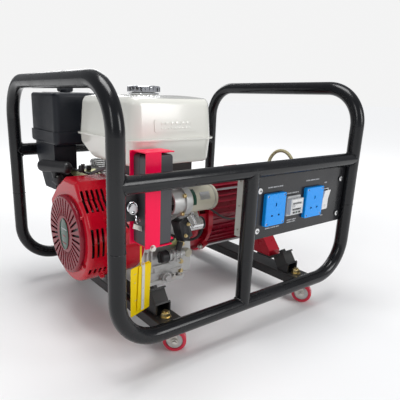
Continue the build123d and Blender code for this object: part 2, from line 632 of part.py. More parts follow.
# ---------------------------------------------------------------- alternator
def make_alternator():
    bell = rod_x(ALT_R - 8, COVER_X1, BELL_X1, CRANK_Y, CRANK_Z)
    bell = fillet(bell.edges().filter_by(lambda e: e.center().X < COVER_X1 + 0.5), 14)
    bell += rod_x(ALT_R, BELL_X1 - 14, BELL_X1, CRANK_Y, CRANK_Z)
    bell -= rod_x(ALT_R - 16, COVER_X1 + 8, BELL_X1, CRANK_Y, CRANK_Z)
    bell -= rod_x(24, COVER_X1 - 1, COVER_X1 + 9, CRANK_Y, CRANK_Z)
    for i in range(8):
        window = Pos(6, 0, ALT_R - 10) * Box(26, 30, 40)
        bell -= Pos(0, CRANK_Y, CRANK_Z) * Rot(i * 45 + 22.5, 0, 0) * window
    for i in range(4):
        lug = Pos(BELL_X1 - 7, 0, ALT_R) * Box(14, 26, 14)
        bell += Pos(0, CRANK_Y, CRANK_Z) * Rot(i * 90 + 45, 0, 0) * lug
    bell -= rod_x(ALT_R - 16, COVER_X1 + 8, BELL_X1, CRANK_Y, CRANK_Z)
    save(bell, "alternator_front_bell")

    stator = rod_x(ALT_R - 6, BELL_X1, STATOR_X1, CRANK_Y, CRANK_Z)
    for i in range(40):
        fin = Pos((BELL_X1 + STATOR_X1) / 2, 0, ALT_R - 6) * Box(STATOR_X1 - BELL_X1, 3, 11)
        stator += Pos(0, CRANK_Y, CRANK_Z) * Rot(i * 9, 0, 0) * fin
    stator -= rod_x(ALT_R - 33, BELL_X1, STATOR_X1, CRANK_Y, CRANK_Z)
    save(stator, "alternator_stator")

    end = rod_x(ALT_R, STATOR_X1, END_X1 - 30, CRANK_Y, CRANK_Z)
    end += rod_x(ALT_R - 10, END_X1 - 30, END_X1, CRANK_Y, CRANK_Z)
    end = fillet(end.edges().filter_by(lambda e: e.center().X > END_X1 - 0.5), 10)
    foot = [
        (CRANK_Y - 142, ALT_FOOT_Z),
        (CRANK_Y - 88, ALT_FOOT_Z),
        (CRANK_Y - 40, ALT_FOOT_Z + 30),
        (CRANK_Y + 40, ALT_FOOT_Z + 30),
        (CRANK_Y + 88, ALT_FOOT_Z),
        (CRANK_Y + 142, ALT_FOOT_Z),
        (CRANK_Y + 142, ALT_FOOT_Z + 14),
        (CRANK_Y + 84, CRANK_Z - 30),
        (CRANK_Y - 84, CRANK_Z - 30),
        (CRANK_Y - 142, ALT_FOOT_Z + 14),
    ]
    end += yz_profile(foot, STATOR_X1 + 17, STATOR_X1 + 57)
    end += block(STATOR_X1 + 4, STATOR_X1 + 52, CRANK_Y - 44, CRANK_Y + 44, CRANK_Z + 60,
                 CRANK_Z + ALT_R + 10)
    gland_x, gland_y, gland_z = LEAD_GLAND
    end += rod_z(9, CRANK_Z + 20, gland_z, gland_x, gland_y)
    end -= rod_x(ALT_R - 14, STATOR_X1, END_X1 - 22, CRANK_Y, CRANK_Z)
    end -= rod_x(SHAFT_D / 2 + RUN_CLEAR, END_X1 - 23, END_X1 - 12, CRANK_Y, CRANK_Z)
    for side in (-1, 1):
        bolt = Pos(STATOR_X1 + 37, CRANK_Y + side * 126, ALT_FOOT_Z + 14)
        end += bolt * extrude(RegularPolygon(9, 6), amount=9)
    for i in range(4):
        lug = Pos(STATOR_X1 + 7, 0, ALT_R) * Box(14, 26, 14)
        end += Pos(0, CRANK_Y, CRANK_Z) * Rot(i * 90 + 45, 0, 0) * lug
    end -= rod_x(ALT_R - 14, STATOR_X1, END_X1 - 22, CRANK_Y, CRANK_Z)
    save(end, "alternator_end_bell")


def make_lead():
    """Alternator lead in its sleeve, from the terminal box over to the panel box."""
    end = (LEAD_POINTS[-1][0], PANEL_FACE_Y + PANEL_T + BOX_DEPTH, LEAD_POINTS[-1][2])
    points = [LEAD_GLAND, *LEAD_POINTS, end]
    vectors = [Vector(*p) for p in points]
    radii = []
    for before, here, after in zip(vectors, vectors[1:], vectors[2:]):
        turn = (here - before).get_angle(after - here)
        run = min((here - before).length, (after - here).length)
        radii.append(0.45 * run / math.tan(math.radians(turn) / 2))
    path = FilletPolyline(*points, radius=radii)
    lead = sweep(Plane(origin=path @ 0, z_dir=path % 0) * Circle(LEAD_D / 2), path=path)
    print("alternator_lead length", round(path.length, 1), "radii", [round(r) for r in radii])
    print("alternator_lead volume ratio", lead.volume / (path.length * math.pi * LEAD_D**2 / 4))
    save(lead, "alternator_lead")


# ---------------------------------------------------------------- starter motor
def make_starter():
    x0, x1 = STARTER_X
    motor = rod_x(STARTER_R, x0, x1, STARTER_Y, STARTER_Z)
    motor = fillet(motor.edges().filter_by(lambda e: e.center().X > x1 - 0.5), 4)
    motor += rod_x(5, x1, x1 + 5, STARTER_Y, STARTER_Z)
    save(motor, "starter_motor")

    nose = rod_x(STARTER_R + 4, x0 - 16, x0, STARTER_Y, STARTER_Z)
    nose += rod_x(STARTER_R - 1, x0 - 44, x0 - 16, STARTER_Y, STARTER_Z)
    nose -= rod_x(STARTER_R - 5, x0 - 44, x0 - 20, STARTER_Y, STARTER_Z)
    nose += rod_x(6, x0 - 40, x0 - 16, STARTER_Y, STARTER_Z)
    arm = yz_profile(
        [(STARTER_Y + 6, STARTER_Z - 28), (CRANK_Y - 70, STARTER_Z - 62), (CRANK_Y - 60, STARTER_Z - 20),
         (CRANK_Y - 62, STARTER_Z - 6), (STARTER_Y + 6, STARTER_Z + 12)],
        x0 - 14, x0 - 2)
    nose += arm
    nose -= crankcase_front()
    save(nose.solids().sort_by(SortBy.VOLUME)[-1], "starter_housing")

    coil_z = STARTER_Z - STARTER_R - 34
    coil = rod_x(15, x0 + 14, x0 + 58, STARTER_Y + 8, coil_z)
    coil += rod_x(17, x0 + 8, x0 + 14, STARTER_Y + 8, coil_z)
    coil += block(x0 + 20, x0 + 34, STARTER_Y - 4, STARTER_Y + 10, coil_z + 10, STARTER_Z - 24)
    coil -= rod_x(STARTER_R, x0, x0 + 78, STARTER_Y, STARTER_Z)
    coil += rod_x(3, x0 + 58, x0 + 66, STARTER_Y + 14, coil_z + 4)
    coil += rod_x(3, x0 + 58, x0 + 66, STARTER_Y + 2, coil_z - 4)
    save(coil, "starter_solenoid")


# ---------------------------------------------------------------- fuel tank
def tank_plan(grow):
    """Outline of the tank seen from above, grown by an offset."""
    x0, x1 = TANK_X
    y0, y1 = TANK_Y
    place = Pos((x0 + x1) / 2, (y0 + y1) / 2, 0)
    return place * RectangleRounded(x1 - x0 + 2 * grow, y1 - y0 + 2 * grow, TANK_CORNER + grow)


def tank_shell(inset):
    """Upper half of the tank as a solid, inset from the outside by a wall."""
    rise = TANK_TOP_Z - TANK_SEAM_Z - inset
    body = extrude(Pos(0, 0, TANK_SEAM_Z) * tank_plan(-inset), amount=rise, taper=TANK_DRAFT)
    body = fillet(body.edges().group_by(Axis.Z)[-1], TANK_ROUND - inset)
    crown_r = 900.0
    middle = (TANK_Y[0] + TANK_Y[1]) / 2
    return body & rod_x(crown_r - inset, TANK_X[0], TANK_X[1], middle, TANK_TOP_Z - crown_r)


def tank_tray(inset):
    """Lower half of the tank as a solid, its floor sloping up towards the back."""
    drop = TANK_SEAM_Z - TANK_LOW_Z - inset
    body = extrude(Pos(0, 0, TANK_SEAM_Z) * Rot(180, 0, 0) * mirror(tank_plan(-inset), about=Plane.XZ),
                   amount=drop, taper=TANK_DRAFT)
    body = fillet(body.edges().group_by(Axis.Z)[0], 10 - inset)
    back = TANK_Y[1] + 20
    slope = [
        (-20, TANK_LOW_Z - 5),
        (back, TANK_LOW_Z - 5),
        (back, TANK_SEAM_Z - 4 - inset),
        (TANK_Y[1] - 8, TANK_SEAM_Z - 10 - inset),
        (-20, TANK_LOW_Z + inset),
    ]
    return body - yz_profile(slope, TANK_X[0] - 20, TANK_X[1] + 20)


def make_tank():
    cap_x, cap_y = CAP_XY
    neck_r = 27.0
    neck_top = TANK_TOP_Z + 6
    lip_t = 1.5
    upper = tank_shell(0)
    upper += extrude(Pos(0, 0, TANK_SEAM_Z) * tank_plan(TANK_LIP), amount=lip_t)
    upper += rod_z(neck_r + 5, TANK_TOP_Z - 12, TANK_TOP_Z + 1, cap_x, cap_y)
    upper += rod_z(neck_r, TANK_TOP_Z - 12, neck_top, cap_x, cap_y)
    # raised badge panel on the sloping front
    badge = Box(104, 3, 24)
    badge = fillet(badge.edges().filter_by(Axis.Y), 4)
    lean = math.radians(TANK_DRAFT)
    badge_rise = 27.0
    badge_y = TANK_Y[0] + badge_rise * math.tan(lean) + 0.3
    upper += Pos(-150, badge_y, TANK_SEAM_Z + badge_rise) * Rot(-TANK_DRAFT, 0, 0) * badge
    upper -= tank_shell(TANK_WALL)
    upper -= rod_z(neck_r - 3, TANK_TOP_Z - 20, neck_top + 1, cap_x, cap_y)
    save(upper, "fuel_tank_upper")

    lower = tank_tray(0)
    lower += extrude(Pos(0, 0, TANK_SEAM_Z - lip_t) * tank_plan(TANK_LIP), amount=lip_t)
    lower -= tank_tray(TANK_WALL)
    save(lower, "fuel_tank_lower")

    cap_low = neck_top + 0.5
    cap = rod_z(CAP_R, cap_low, cap_low + 13, cap_x, cap_y)
    cap = fillet(cap.edges().group_by(Axis.Z)[-1], 4)
    for i in range(CAP_GRIPS):
        groove = Pos(CAP_R + 1.2, 0, cap_low + 5) * Cylinder(3, 12)
        cap -= Pos(cap_x, cap_y, 0) * Rot(0, 0, i * 360 / CAP_GRIPS) * groove
    cap += rod_z(neck_r - 3 - RUN_CLEAR, neck_top - 12, cap_low, cap_x, cap_y)
    cap -= rod_z(neck_r - 7, neck_top - 12, cap_low - 1, cap_x, cap_y)
    save(cap, "fuel_cap")

    # stay between the top of the crankcase and the underside of the tank
    case_top = CRANK_Z + BLOCK_TOP
    x0 = BLOCK_X0 + 8
    x1 = BLOCK_X1 - 8
    stay = block(x0, x1, CRANK_Y - 40, CRANK_Y + 34, case_top, case_top + 4)
    stay += block(x0, x1, CRANK_Y - 40, CRANK_Y - 36, case_top, TANK_LOW_Z)
    stay += block(TANK_X[0] + 24, TANK_X[1] - 24, -140, -30, TANK_LOW_Z - 4, TANK_LOW_Z)
    stay += block(TANK_X[0] + 24, TANK_X[0] + 28, -140, -30, TANK_LOW_Z - 22, TANK_LOW_Z)
    save(stay, "tank_bracket")


# ---------------------------------------------------------------- air cleaner and carburettor
def make_air_cleaner():
    x0, x1 = AIR_X
    y0, y1 = AIR_Y
    cx = (x0 + x1) / 2
    cy = (y0 + y1) / 2

    tray = block(x0 - 3, x1 + 3, y0 - 3, y1 + 3, AIR_LOW_Z, AIR_SPLIT_Z)
    tray = soften(tray, 14, Axis.Z)
    tray = fillet(tray.edges().group_by(Axis.Z)[0], 8)
    tray -= soften(block(x0 + 3, x1 - 3, y0 + 3, y1 - 3, AIR_LOW_Z + 4, AIR_SPLIT_Z), 10, Axis.Z)
    # hollow duct from the tray down to the carburettor
    duct_low = CARB_Z - CARB_R - 6
    duct_points = [
        (CARB_Y - 30, AIR_LOW_Z + 2),
        (y1 - 8, AIR_LOW_Z + 2),
        (y1 - 14, AIR_LOW_Z - 40),
        (CARB_Y + 40, duct_low - 2),
        (CARB_Y - 30, duct_low),
    ]
    duct = yz_profile(duct_points, x0 + 6, CARB_X[0])
    tray += soften(duct, 9, Axis.X)
    bore_points = [
        (CARB_Y - 24, AIR_LOW_Z + 6),
        (y1 - 16, AIR_LOW_Z + 6),
        (y1 - 22, AIR_LOW_Z - 38),
        (CARB_Y + 36, duct_low + 5),
        (CARB_Y - 24, duct_low + 6),
    ]
    tray -= yz_profile(bore_points, x0 + 11, CARB_X[0] - 5)
    tray -= rod_x(CARB_R - 7, CARB_X[0] - 10, CARB_X[0] + 1, CARB_Y, CARB_Z)
    # stud that holds the cover down, on a crossbar over the duct
    tray += block(x0 + 2, x1 - 2, cy - 6, cy + 6, AIR_LOW_Z, AIR_LOW_Z + 5)
    tray += rod_z(STUD_D / 2, AIR_LOW_Z + 2, AIR_TOP_Z + 10, cx, cy)
    save(tray, "air_cleaner_base")

    cover = block(x0, x1, y0, y1, AIR_SPLIT_Z, AIR_TOP_Z)
    cover = soften(cover, 14, Axis.Z)
    cover = fillet(cover.edges().group_by(Axis.Z)[-1], 8)
    cover -= soften(block(x0 + 2.5, x1 - 2.5, y0 + 2.5, y1 - 2.5, AIR_SPLIT_Z, AIR_TOP_Z - 2.5), 11, Axis.Z)
    cover -= rod_z(STUD_D / 2 + BODY_GAP, AIR_TOP_Z - 5, AIR_TOP_Z + 1, cx, cy)
    save(cover, "air_cleaner_cover")

    nut = rod_z(13, AIR_TOP_Z + BODY_GAP, AIR_TOP_Z + 7, cx, cy)
    wing = soften(block(cx - 19, cx + 19, cy - 4, cy + 4, AIR_TOP_Z + 2, AIR_TOP_Z + 15), 5, Axis.Y)
    nut += wing
    nut -= rod_z(STUD_D / 2 + RUN_CLEAR, AIR_TOP_Z, AIR_TOP_Z + 20, cx, cy)
    save(nut, "air_cleaner_nut")

    # carburettor on the fan side of the cylinder head, in line with the duct
    body = rod_x(CARB_R, CARB_X[0], CARB_X[1], CARB_Y, CARB_Z)
    body += block(CARB_X[0], CARB_X[0] + 6, CARB_Y - 26, CARB_Y + 26, CARB_Z - 20, CARB_Z + 20)
    body += block(CARB_X[1] - 8, CARB_X[1], CARB_Y - 26, CARB_Y + 26, CARB_Z - 20, CARB_Z + 20)
    middle = (CARB_X[0] + CARB_X[1]) / 2
    body += rod_z(19, CARB_Z - 46, CARB_Z - 8, middle, CARB_Y)
    body += rod_z(5, CARB_Z + 8, CARB_Z + 30, middle, CARB_Y)
    body -= rod_x(CARB_R - 7, CARB_X[0] - 1, CARB_X[1] + 1, CARB_Y, CARB_Z)
    save(body, "carburettor")

    # choke lever on the upper spindle
    lever = rod_z(8, CARB_Z + 22, CARB_Z + 25, middle, CARB_Y)
    lever += block(middle - 4, middle + 4, CARB_Y - 34, CARB_Y, CARB_Z + 22, CARB_Z + 25)
    lever += rod_z(6, CARB_Z + 20, CARB_Z + 31, middle, CARB_Y - 34)
    lever -= rod_z(5 + RUN_CLEAR, CARB_Z, CARB_Z + 40, middle, CARB_Y)
    save(lever, "choke_lever")


# ---------------------------------------------------------------- muffler
def make_muffler():
    x0, x1 = MUFFLER_X
    y0, y1 = MUFFLER_Y
    z0 = CRANK_Z + MUFFLER_RISE[0]
    z1 = CRANK_Z + MUFFLER_RISE[1]
    can = block(x0, x1, y0, y1, z0, z1)
    can = soften(can, 22, Axis.X)
    wall = 4.0
    can -= soften(block(x0 + wall, x1 - wall, y0 + wall, y1 - wall, z0 + wall, z1 - wall), 18, Axis.X)
    for i in range(9):
        slot_x = x0 + 20 + i * 15
        if abs(slot_x + 3 - x0 - OUTLET_IN) > 20:
            can -= block(slot_x, slot_x + 6, y1 - 3, y1 + 1, z0 + 24, z1 - 24)
        can -= block(slot_x, slot_x + 6, y0 + 24, y1 - 24, z1 - 3, z1 + 1)
    can += rod_y(11, y1 - 2, y1 + 16, x0 + OUTLET_IN, z0 + 34)
    can -= rod_y(8.5, y1 - 5, y1 + 17, x0 + OUTLET_IN, z0 + 34)
    # exhaust elbow from the cylinder head
    can += rod_x(14, CYL_X + 59, x0 + 4, EXHAUST_Y, CRANK_Z + EXHAUST_RISE)
    can += block(CYL_X + 59, CYL_X + 65, EXHAUST_Y - 24, EXHAUST_Y + 24,
                 CRANK_Z + EXHAUST_RISE - 18, CRANK_Z + EXHAUST_RISE + 18)
    save(can, "muffler")


# ---------------------------------------------------------------- battery and key switch
def crankcase_front():
    """Space taken by the front half of the crankcase."""
    outline = [
        (CRANK_Y - BLOCK_HALF_W, base_z), (CRANK_Y, base_z), (CRANK_Y, CRANK_Z + BLOCK_TOP),
        (CRANK_Y - 45, CRANK_Z + BLOCK_TOP), (CRANK_Y - BLOCK_HALF_W + 10, CRANK_Z + BLOCK_TOP - 30),
        (CRANK_Y - BLOCK_HALF_W, base_z + 55),
    ]
    return yz_profile(outline, BLOCK_X0, BLOCK_X1)


def make_battery():
    x0, x1 = BATTERY_X
    y0, y1 = BATTERY_Y
    z0, z1 = BATTERY_Z
    body = soften(block(x0, x1, y0, y1, z0, z1), 7, Axis.Y)
    body = fillet(body.edges().group_by(Axis.Y)[0], 3)
    save(body, "battery")

    t = BRACKET_T
    clear = 0.5
    front = y0 - clear - t
    top = z1 + 4
    back = block(x0 - 8, x1 - 4, y1, y1 + t, z0 - t, top + t)
    flap = block(x0 - 2, x1, front, y1 + t, top, top + t)
    shelf = block(x0 + 4, x1, front, y1 + t, z0 - t, z0)
    strap = block(x0 - 1, x0 - 1 + STRAP_W, front, front + t, z0 - t, top + t)
    bracket = back + flap + shelf + strap
    # plate that carries the key switch beside the battery
    bracket += block(KEY_X - 14, x0, y1, y1 + t, KEY_Z - 30, KEY_Z + 26)
    # foot from the back plate to the crankcase
    foot_x0 = BLOCK_X0 - 26
    bracket += block(foot_x0, BLOCK_X0 + 20, y1, CRANK_Y - BLOCK_HALF_W + 14, z0 - 10, z0 - 7)
    bracket += block(foot_x0, x1 - 4, y1, y1 + 3, z0 - 10, z0 + 8)
    bracket -= crankcase_front()
    bracket -= fan_outline(0.0)
    save(bracket.solids().sort_by(SortBy.VOLUME)[-1], "battery_bracket")


def make_key():
    back = BATTERY_Y[1]
    housing = soften(block(KEY_X - 13, KEY_X + 13, KEY_FACE_Y, back, KEY_Z - 28, KEY_Z + 22), 4, Axis.Y)
    housing += rod_y(11, KEY_FACE_Y - 5, KEY_FACE_Y, KEY_X, KEY_Z)
    housing -= rod_y(KEY_BARREL_R, KEY_FACE_Y - 6, KEY_FACE_Y + 8, KEY_X, KEY_Z)
    save(housing, "key_switch")

    key = rod_y(KEY_BARREL_R - RUN_CLEAR, KEY_FACE_Y - 7, KEY_FACE_Y + 7, KEY_X, KEY_Z)
    bow = rod_y(9, KEY_FACE_Y - 9.2, KEY_FACE_Y - 7, KEY_X, KEY_Z - 4)
    bow -= rod_y(3, KEY_FACE_Y - 12, KEY_FACE_Y - 6.5, KEY_X, KEY_Z - 9)
    save(key + bow, "ignition_key")


# ---------------------------------------------------------------- oil filler cap
def make_oil_cap():
    cap = rod_x(OIL_R + 2, OIL_X[0] + 4, OIL_X[0] + 22 - BODY_GAP, OIL_Y, OIL_Z)
    cap = fillet(cap.edges().group_by(Axis.X)[0], 3)
    cap += block(OIL_X[0], OIL_X[0] + 6, OIL_Y - 3, OIL_Y + 3, OIL_Z - OIL_R, OIL_Z + OIL_R)
    cap += rod_x(OIL_R - 3 - RUN_CLEAR, OIL_X[0] + 20, OIL_X[0] + 32, OIL_Y, OIL_Z)
    save(cap, "oil_filler_cap")


# ---------------------------------------------------------------- outlet panel
def frame_uprights():
    """Solid space of the tubes that the panel is welded between."""
    tubes = rod_z(tube_r, 0, TOP_Z, POST_X, -half_w)
    tubes += rod_z(tube_r, 0, TOP_Z, half_l, -half_w)
    return tubes + rod_x(tube_r, -half_l, half_l, -half_w, MID_Z)


def make_panel():
    x0 = POST_X + tube_r - 5
    x1 = half_l - tube_r + 5
    back_y = PANEL_FACE_Y + PANEL_T
    z0, z1 = PANEL_Z
    plate = block(x0, x1, PANEL_FACE_Y, back_y, z0, z1) - frame_uprights()
    for sx in SOCKET_X:
        plate -= block(sx - 22, sx + 22, PANEL_FACE_Y - 1, back_y + 1, DEVICE_Z - 24, DEVICE_Z + 24)
    plate -= block(BREAKER_X - BREAKER_W / 2 + 3, BREAKER_X + BREAKER_W / 2 - 3, PANEL_FACE_Y - 1,
                   back_y + 1, DEVICE_Z - BREAKER_H / 2 + 3, DEVICE_Z + BREAKER_H / 2 - 3)
    plate -= block(ROCKER_X - ROCKER_W / 2 + 2, ROCKER_X + ROCKER_W / 2 - 2, PANEL_FACE_Y - 1,
                   back_y + 1, DEVICE_Z - ROCKER_H / 2 + 2, DEVICE_Z + ROCKER_H / 2 - 2)
    for sx in (x0 + 22, x1 - 22):
        for sz in (z0 + 20, z1 - 30):
            head = rod_y(6, PANEL_FACE_Y - 3, PANEL_FACE_Y, sx, sz)
            plate += fillet(head.edges().group_by(Axis.Y)[0], 2)
    save(plate, "panel_plate")

    outer = block(x0 + 1, x1 - 1, back_y, back_y + BOX_DEPTH, z0 + 2, z1)
    box = outer - block(x0 + 3, x1 - 3, back_y, back_y + BOX_DEPTH - 2, z0 + 4, z1 - 2)
    box -= frame_uprights()
    save(box.solids().sort_by(SortBy.VOLUME)[-1], "panel_box")

    outlets = []
    for sx in SOCKET_X:
        face = block(sx - SOCKET_W / 2, sx + SOCKET_W / 2, PANEL_FACE_Y - 9, PANEL_FACE_Y,
                     DEVICE_Z - SOCKET_H / 2, DEVICE_Z + SOCKET_H / 2)
        face = soften(face, 4, Axis.Y)
        face = fillet(face.edges().group_by(Axis.Y)[0], 2)
        face += block(sx - 21.8, sx + 21.8, PANEL_FACE_Y, back_y + 22, DEVICE_Z - 23.8, DEVICE_Z + 23.8)
        # three pin slots: earth above, live and neutral below
        face -= block(sx - 2, sx + 2, PANEL_FACE_Y - 10, PANEL_FACE_Y + 12, DEVICE_Z + 7, DEVICE_Z + 15)
        for pin in (-11.1, 11.1):
            face -= block(sx + pin - 3.2, sx + pin + 3.2, PANEL_FACE_Y - 10, PANEL_FACE_Y + 12,
                          DEVICE_Z - 15, DEVICE_Z - 11)
        for cx in (-26, 26):
            for cz in (-31, 31):
                face -= rod_y(2.8, PANEL_FACE_Y - 10, PANEL_FACE_Y - 7.5, sx + cx, DEVICE_Z + cz)
        outlets.append(face)
    save(Compound(outlets), "sockets")

    bx0 = BREAKER_X - BREAKER_W / 2
    bx1 = BREAKER_X + BREAKER_W / 2
    bz0 = DEVICE_Z - BREAKER_H / 2
    bz1 = DEVICE_Z + BREAKER_H / 2
    front_y = PANEL_FACE_Y - BREAKER_PROUD
    breaker = block(bx0, bx1, PANEL_FACE_Y - 5, PANEL_FACE_Y, bz0, bz1)
    breaker = soften(breaker, 2, Axis.Y)
    breaker += block(bx0 + 1, bx1 - 1, front_y, PANEL_FACE_Y, bz0 + 5, bz1 - 5)
    breaker += block(bx0 + 3.2, bx1 - 3.2, PANEL_FACE_Y, back_y + 34, bz0 + 3.2, bz1 - 3.2)
    breaker -= block(bx0 + 7, bx1 - 7, front_y - 1, front_y + 12, DEVICE_Z - 9, DEVICE_Z + 9)
    save(breaker, "circuit_breaker")

    pivot_y = front_y + 5
    toggle = rod_x(6, bx0 + 7.4, bx1 - 7.4, pivot_y, DEVICE_Z)
    lever = block(bx0 + 9, bx1 - 9, pivot_y - TOGGLE_L, pivot_y, DEVICE_Z - 2.5, DEVICE_Z + 2.5)
    to_pivot = Pos(0, pivot_y, DEVICE_Z) * Rot(-TOGGLE_REST, 0, 0) * Pos(0, -pivot_y, -DEVICE_Z)
    save(toggle + to_pivot * lever, "breaker_toggle")

    half_h = ROCKER_H / 2 - 2.4
    half_t = ROCKER_W / 2 - 2.4
    rocker = yz_profile(
        [(PANEL_FACE_Y - 10, DEVICE_Z + half_h), (PANEL_FACE_Y - 5, DEVICE_Z),
         (PANEL_FACE_Y - 5, DEVICE_Z - half_h), (PANEL_FACE_Y + 6, DEVICE_Z - half_h + 6),
         (PANEL_FACE_Y + 6, DEVICE_Z + half_h - 6)],
        ROCKER_X - half_t, ROCKER_X + half_t)
    save(rocker, "rocker_switch")


# ---------------------------------------------------------------- inspection tag
def make_tag():
    hang_z = BATTERY_Z[0] - BRACKET_T - BODY_GAP
    low = RAIL_Z + TAG_RISE
    top = low + TAG_H
    leaf = soften(block(-TAG_W / 2, TAG_W / 2, 0, TAG_T, low, top), 3, Axis.Y)
    tie = block(-2, 2, -TAG_T, 0, top - 12, hang_z)
    save(Pos(TAG_X, TAG_Y, 0) * Rot(0, 0, TAG_TURN) * (leaf + tie), "inspection_tag")


make_frame()
make_casters()
make_mounts()
make_crankcase()
make_cylinder()
make_fan_cover()
make_grip()
make_rotating()
make_alternator()
make_lead()
make_starter()
make_tank()
make_air_cleaner()
make_muffler()
make_battery()
make_key()
make_oil_cap()
make_panel()
make_tag()
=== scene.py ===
import math

import bmesh
import bpy
from mathutils import Matrix, Vector


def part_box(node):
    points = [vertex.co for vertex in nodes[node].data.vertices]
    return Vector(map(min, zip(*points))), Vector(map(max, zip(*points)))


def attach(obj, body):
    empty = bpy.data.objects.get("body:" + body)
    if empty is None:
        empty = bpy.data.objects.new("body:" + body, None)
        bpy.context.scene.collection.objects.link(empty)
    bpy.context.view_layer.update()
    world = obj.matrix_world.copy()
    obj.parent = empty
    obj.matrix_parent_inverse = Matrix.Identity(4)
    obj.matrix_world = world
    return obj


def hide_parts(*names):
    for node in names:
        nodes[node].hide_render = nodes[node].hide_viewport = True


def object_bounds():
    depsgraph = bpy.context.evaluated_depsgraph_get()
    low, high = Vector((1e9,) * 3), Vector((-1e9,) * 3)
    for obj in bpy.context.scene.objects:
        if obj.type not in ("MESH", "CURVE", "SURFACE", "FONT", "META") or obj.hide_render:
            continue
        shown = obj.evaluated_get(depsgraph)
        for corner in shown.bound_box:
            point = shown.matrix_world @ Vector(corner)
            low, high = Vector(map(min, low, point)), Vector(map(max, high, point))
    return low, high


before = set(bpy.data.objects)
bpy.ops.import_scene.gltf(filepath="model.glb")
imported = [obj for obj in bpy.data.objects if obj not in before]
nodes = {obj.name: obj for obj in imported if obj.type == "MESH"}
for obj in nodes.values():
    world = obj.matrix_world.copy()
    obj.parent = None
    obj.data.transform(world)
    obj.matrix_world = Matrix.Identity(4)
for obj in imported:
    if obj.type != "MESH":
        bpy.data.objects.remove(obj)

cad_low, cad_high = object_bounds()
MM = 0.001
CRANK_Y, CRANK_Z = -4, 217      # crankshaft, in millimetres


def at(x, y, z):
    """A point given in millimetres."""
    return Vector((x, y, z)) * MM


def link(thing):
    bpy.context.scene.collection.objects.link(thing)


# ---- camera, lights and floor
def set_camera():
    lens = bpy.data.cameras.new("camera")
    lens.sensor_width = 36.0
    lens.lens = 38.28
    lens.shift_x = 0.0875
    lens.shift_y = 0.0433
    camera = bpy.data.objects.new("camera", lens)
    yaw, pitch, roll = math.radians(35.55), math.radians(16.05), math.radians(1.2)
    turn = Matrix.Rotation(-yaw, 4, "Z") @ Matrix.Rotation(math.pi / 2 - pitch, 4, "X")
    camera.matrix_world = Matrix.Translation(at(-662.5, -864, 518.6)) @ turn @ Matrix.Rotation(roll, 4, "Z")
    link(camera)
    bpy.context.scene.camera = camera


def area_light(name, place, aim, size, watts, colour=(1, 1, 1)):
    lamp = bpy.data.lights.new(name, "AREA")
    lamp.shape = "RECTANGLE"
    lamp.size, lamp.size_y = size
    lamp.energy = watts
    lamp.color = colour
    holder = bpy.data.objects.new(name, lamp)
    holder.location = place
    holder.rotation_mode = "QUATERNION"
    holder.rotation_quaternion = (Vector(aim) - Vector(place)).to_track_quat("-Z", "Y")
    link(holder)


def set_studio():
    scene = bpy.context.scene
    scene.view_settings.view_transform = "Standard"
    world = bpy.data.worlds.new("studio")
    world.use_nodes = True
    tree = world.node_tree
    seen = tree.nodes["Background"]
    seen.inputs["Color"].default_value = (1.0, 1.0, 1.0, 1)
    seen.inputs["Strength"].default_value = 0.9
    # dimmer all round than it looks, so that dark glossy paint stays dark
    lit = add_node(tree, "Background", Color=(0.94, 0.96, 1.0, 1), Strength=0.32)
    path = add_node(tree, "LightPath")
    mix = add_node(tree, "MixShader", in0=path.outputs["Is Camera Ray"], in1=lit.outputs[0],
                   in2=seen.outputs[0])
    tree.links.new(mix.outputs[0], tree.nodes["World Output"].inputs["Surface"])
    scene.world = world
    centre = (0.0, 0.0, 0.28)
    area_light("overhead", (-0.2, -0.1, 2.6), centre, (1.5, 1.1), 44)
    area_light("front_left", (-2.3, -1.5, 1.5), centre, (0.5, 1.4), 12)
    area_light("front_right", (1.2, -2.5, 1.3), centre, (0.8, 1.2), 22)
    area_light("behind", (0.8, 2.3, 1.6), centre, (1.4, 1.0), 14)


def lay_floor():
    bpy.ops.mesh.primitive_plane_add(size=60, location=(0, 0, -0.0008))
    floor = bpy.context.object
    floor.name = "studio_floor"
    stuff = bpy.data.materials.new("studio_floor")
    stuff.use_nodes = True
    shader = stuff.node_tree.nodes["Principled BSDF"]
    shader.inputs["Base Color"].default_value = (0.9, 0.9, 0.9, 1)
    shader.inputs["Roughness"].default_value = 0.75
    # far from the generator the floor pales into the white surround
    tree = stuff.node_tree
    where = add_node(tree, "TexCoord")
    far = add_node(tree, "VectorMath", {"operation": "LENGTH"}, in0=where.outputs["Object"])
    pale = add_node(tree, "MapRange", {"interpolation_type": "SMOOTHSTEP"},
                    Value=far.outputs["Value"], From_Min=0.4, From_Max=2.6, To_Max=0.62)
    shader.inputs["Emission Color"].default_value = (1.0, 1.0, 1.0, 1)
    tree.links.new(pale.outputs["Result"], shader.inputs["Emission Strength"])
    floor.data.materials.append(stuff)


# ---- shared shader effects
def new_group(name, inputs, outputs):
    """A shader node group with named sockets, its in and out nodes returned."""
    group = bpy.data.node_groups.new(name, "ShaderNodeTree")
    for label, kind, value in inputs:
        socket = group.interface.new_socket(label, in_out="INPUT", socket_type=kind)
        socket.default_value = value
    for label, kind in outputs:
        group.interface.new_socket(label, in_out="OUTPUT", socket_type=kind)
    return group, group.nodes.new("NodeGroupInput"), group.nodes.new("NodeGroupOutput")


def feed(tree, socket, value):
    """Link a socket to another one, or set its value."""
    if isinstance(value, bpy.types.NodeSocket):
        tree.links.new(value, socket)
    else:
        socket.default_value = value


def add_node(tree, kind, settings=None, **values):
    """A node with its settings and input values; a value that is a socket is linked."""
    made = tree.nodes.new("ShaderNode" + kind)
    for key, value in (settings or {}).items():
        setattr(made, key, value)
    for key, value in values.items():
        label = key.replace("_", " ")
        numbered = key.startswith("in") and key[2:].isdigit()
        feed(tree, made.inputs[int(key[2:])] if numbered else made.inputs[label], value)
    return made


FLOAT = "NodeSocketFloat"


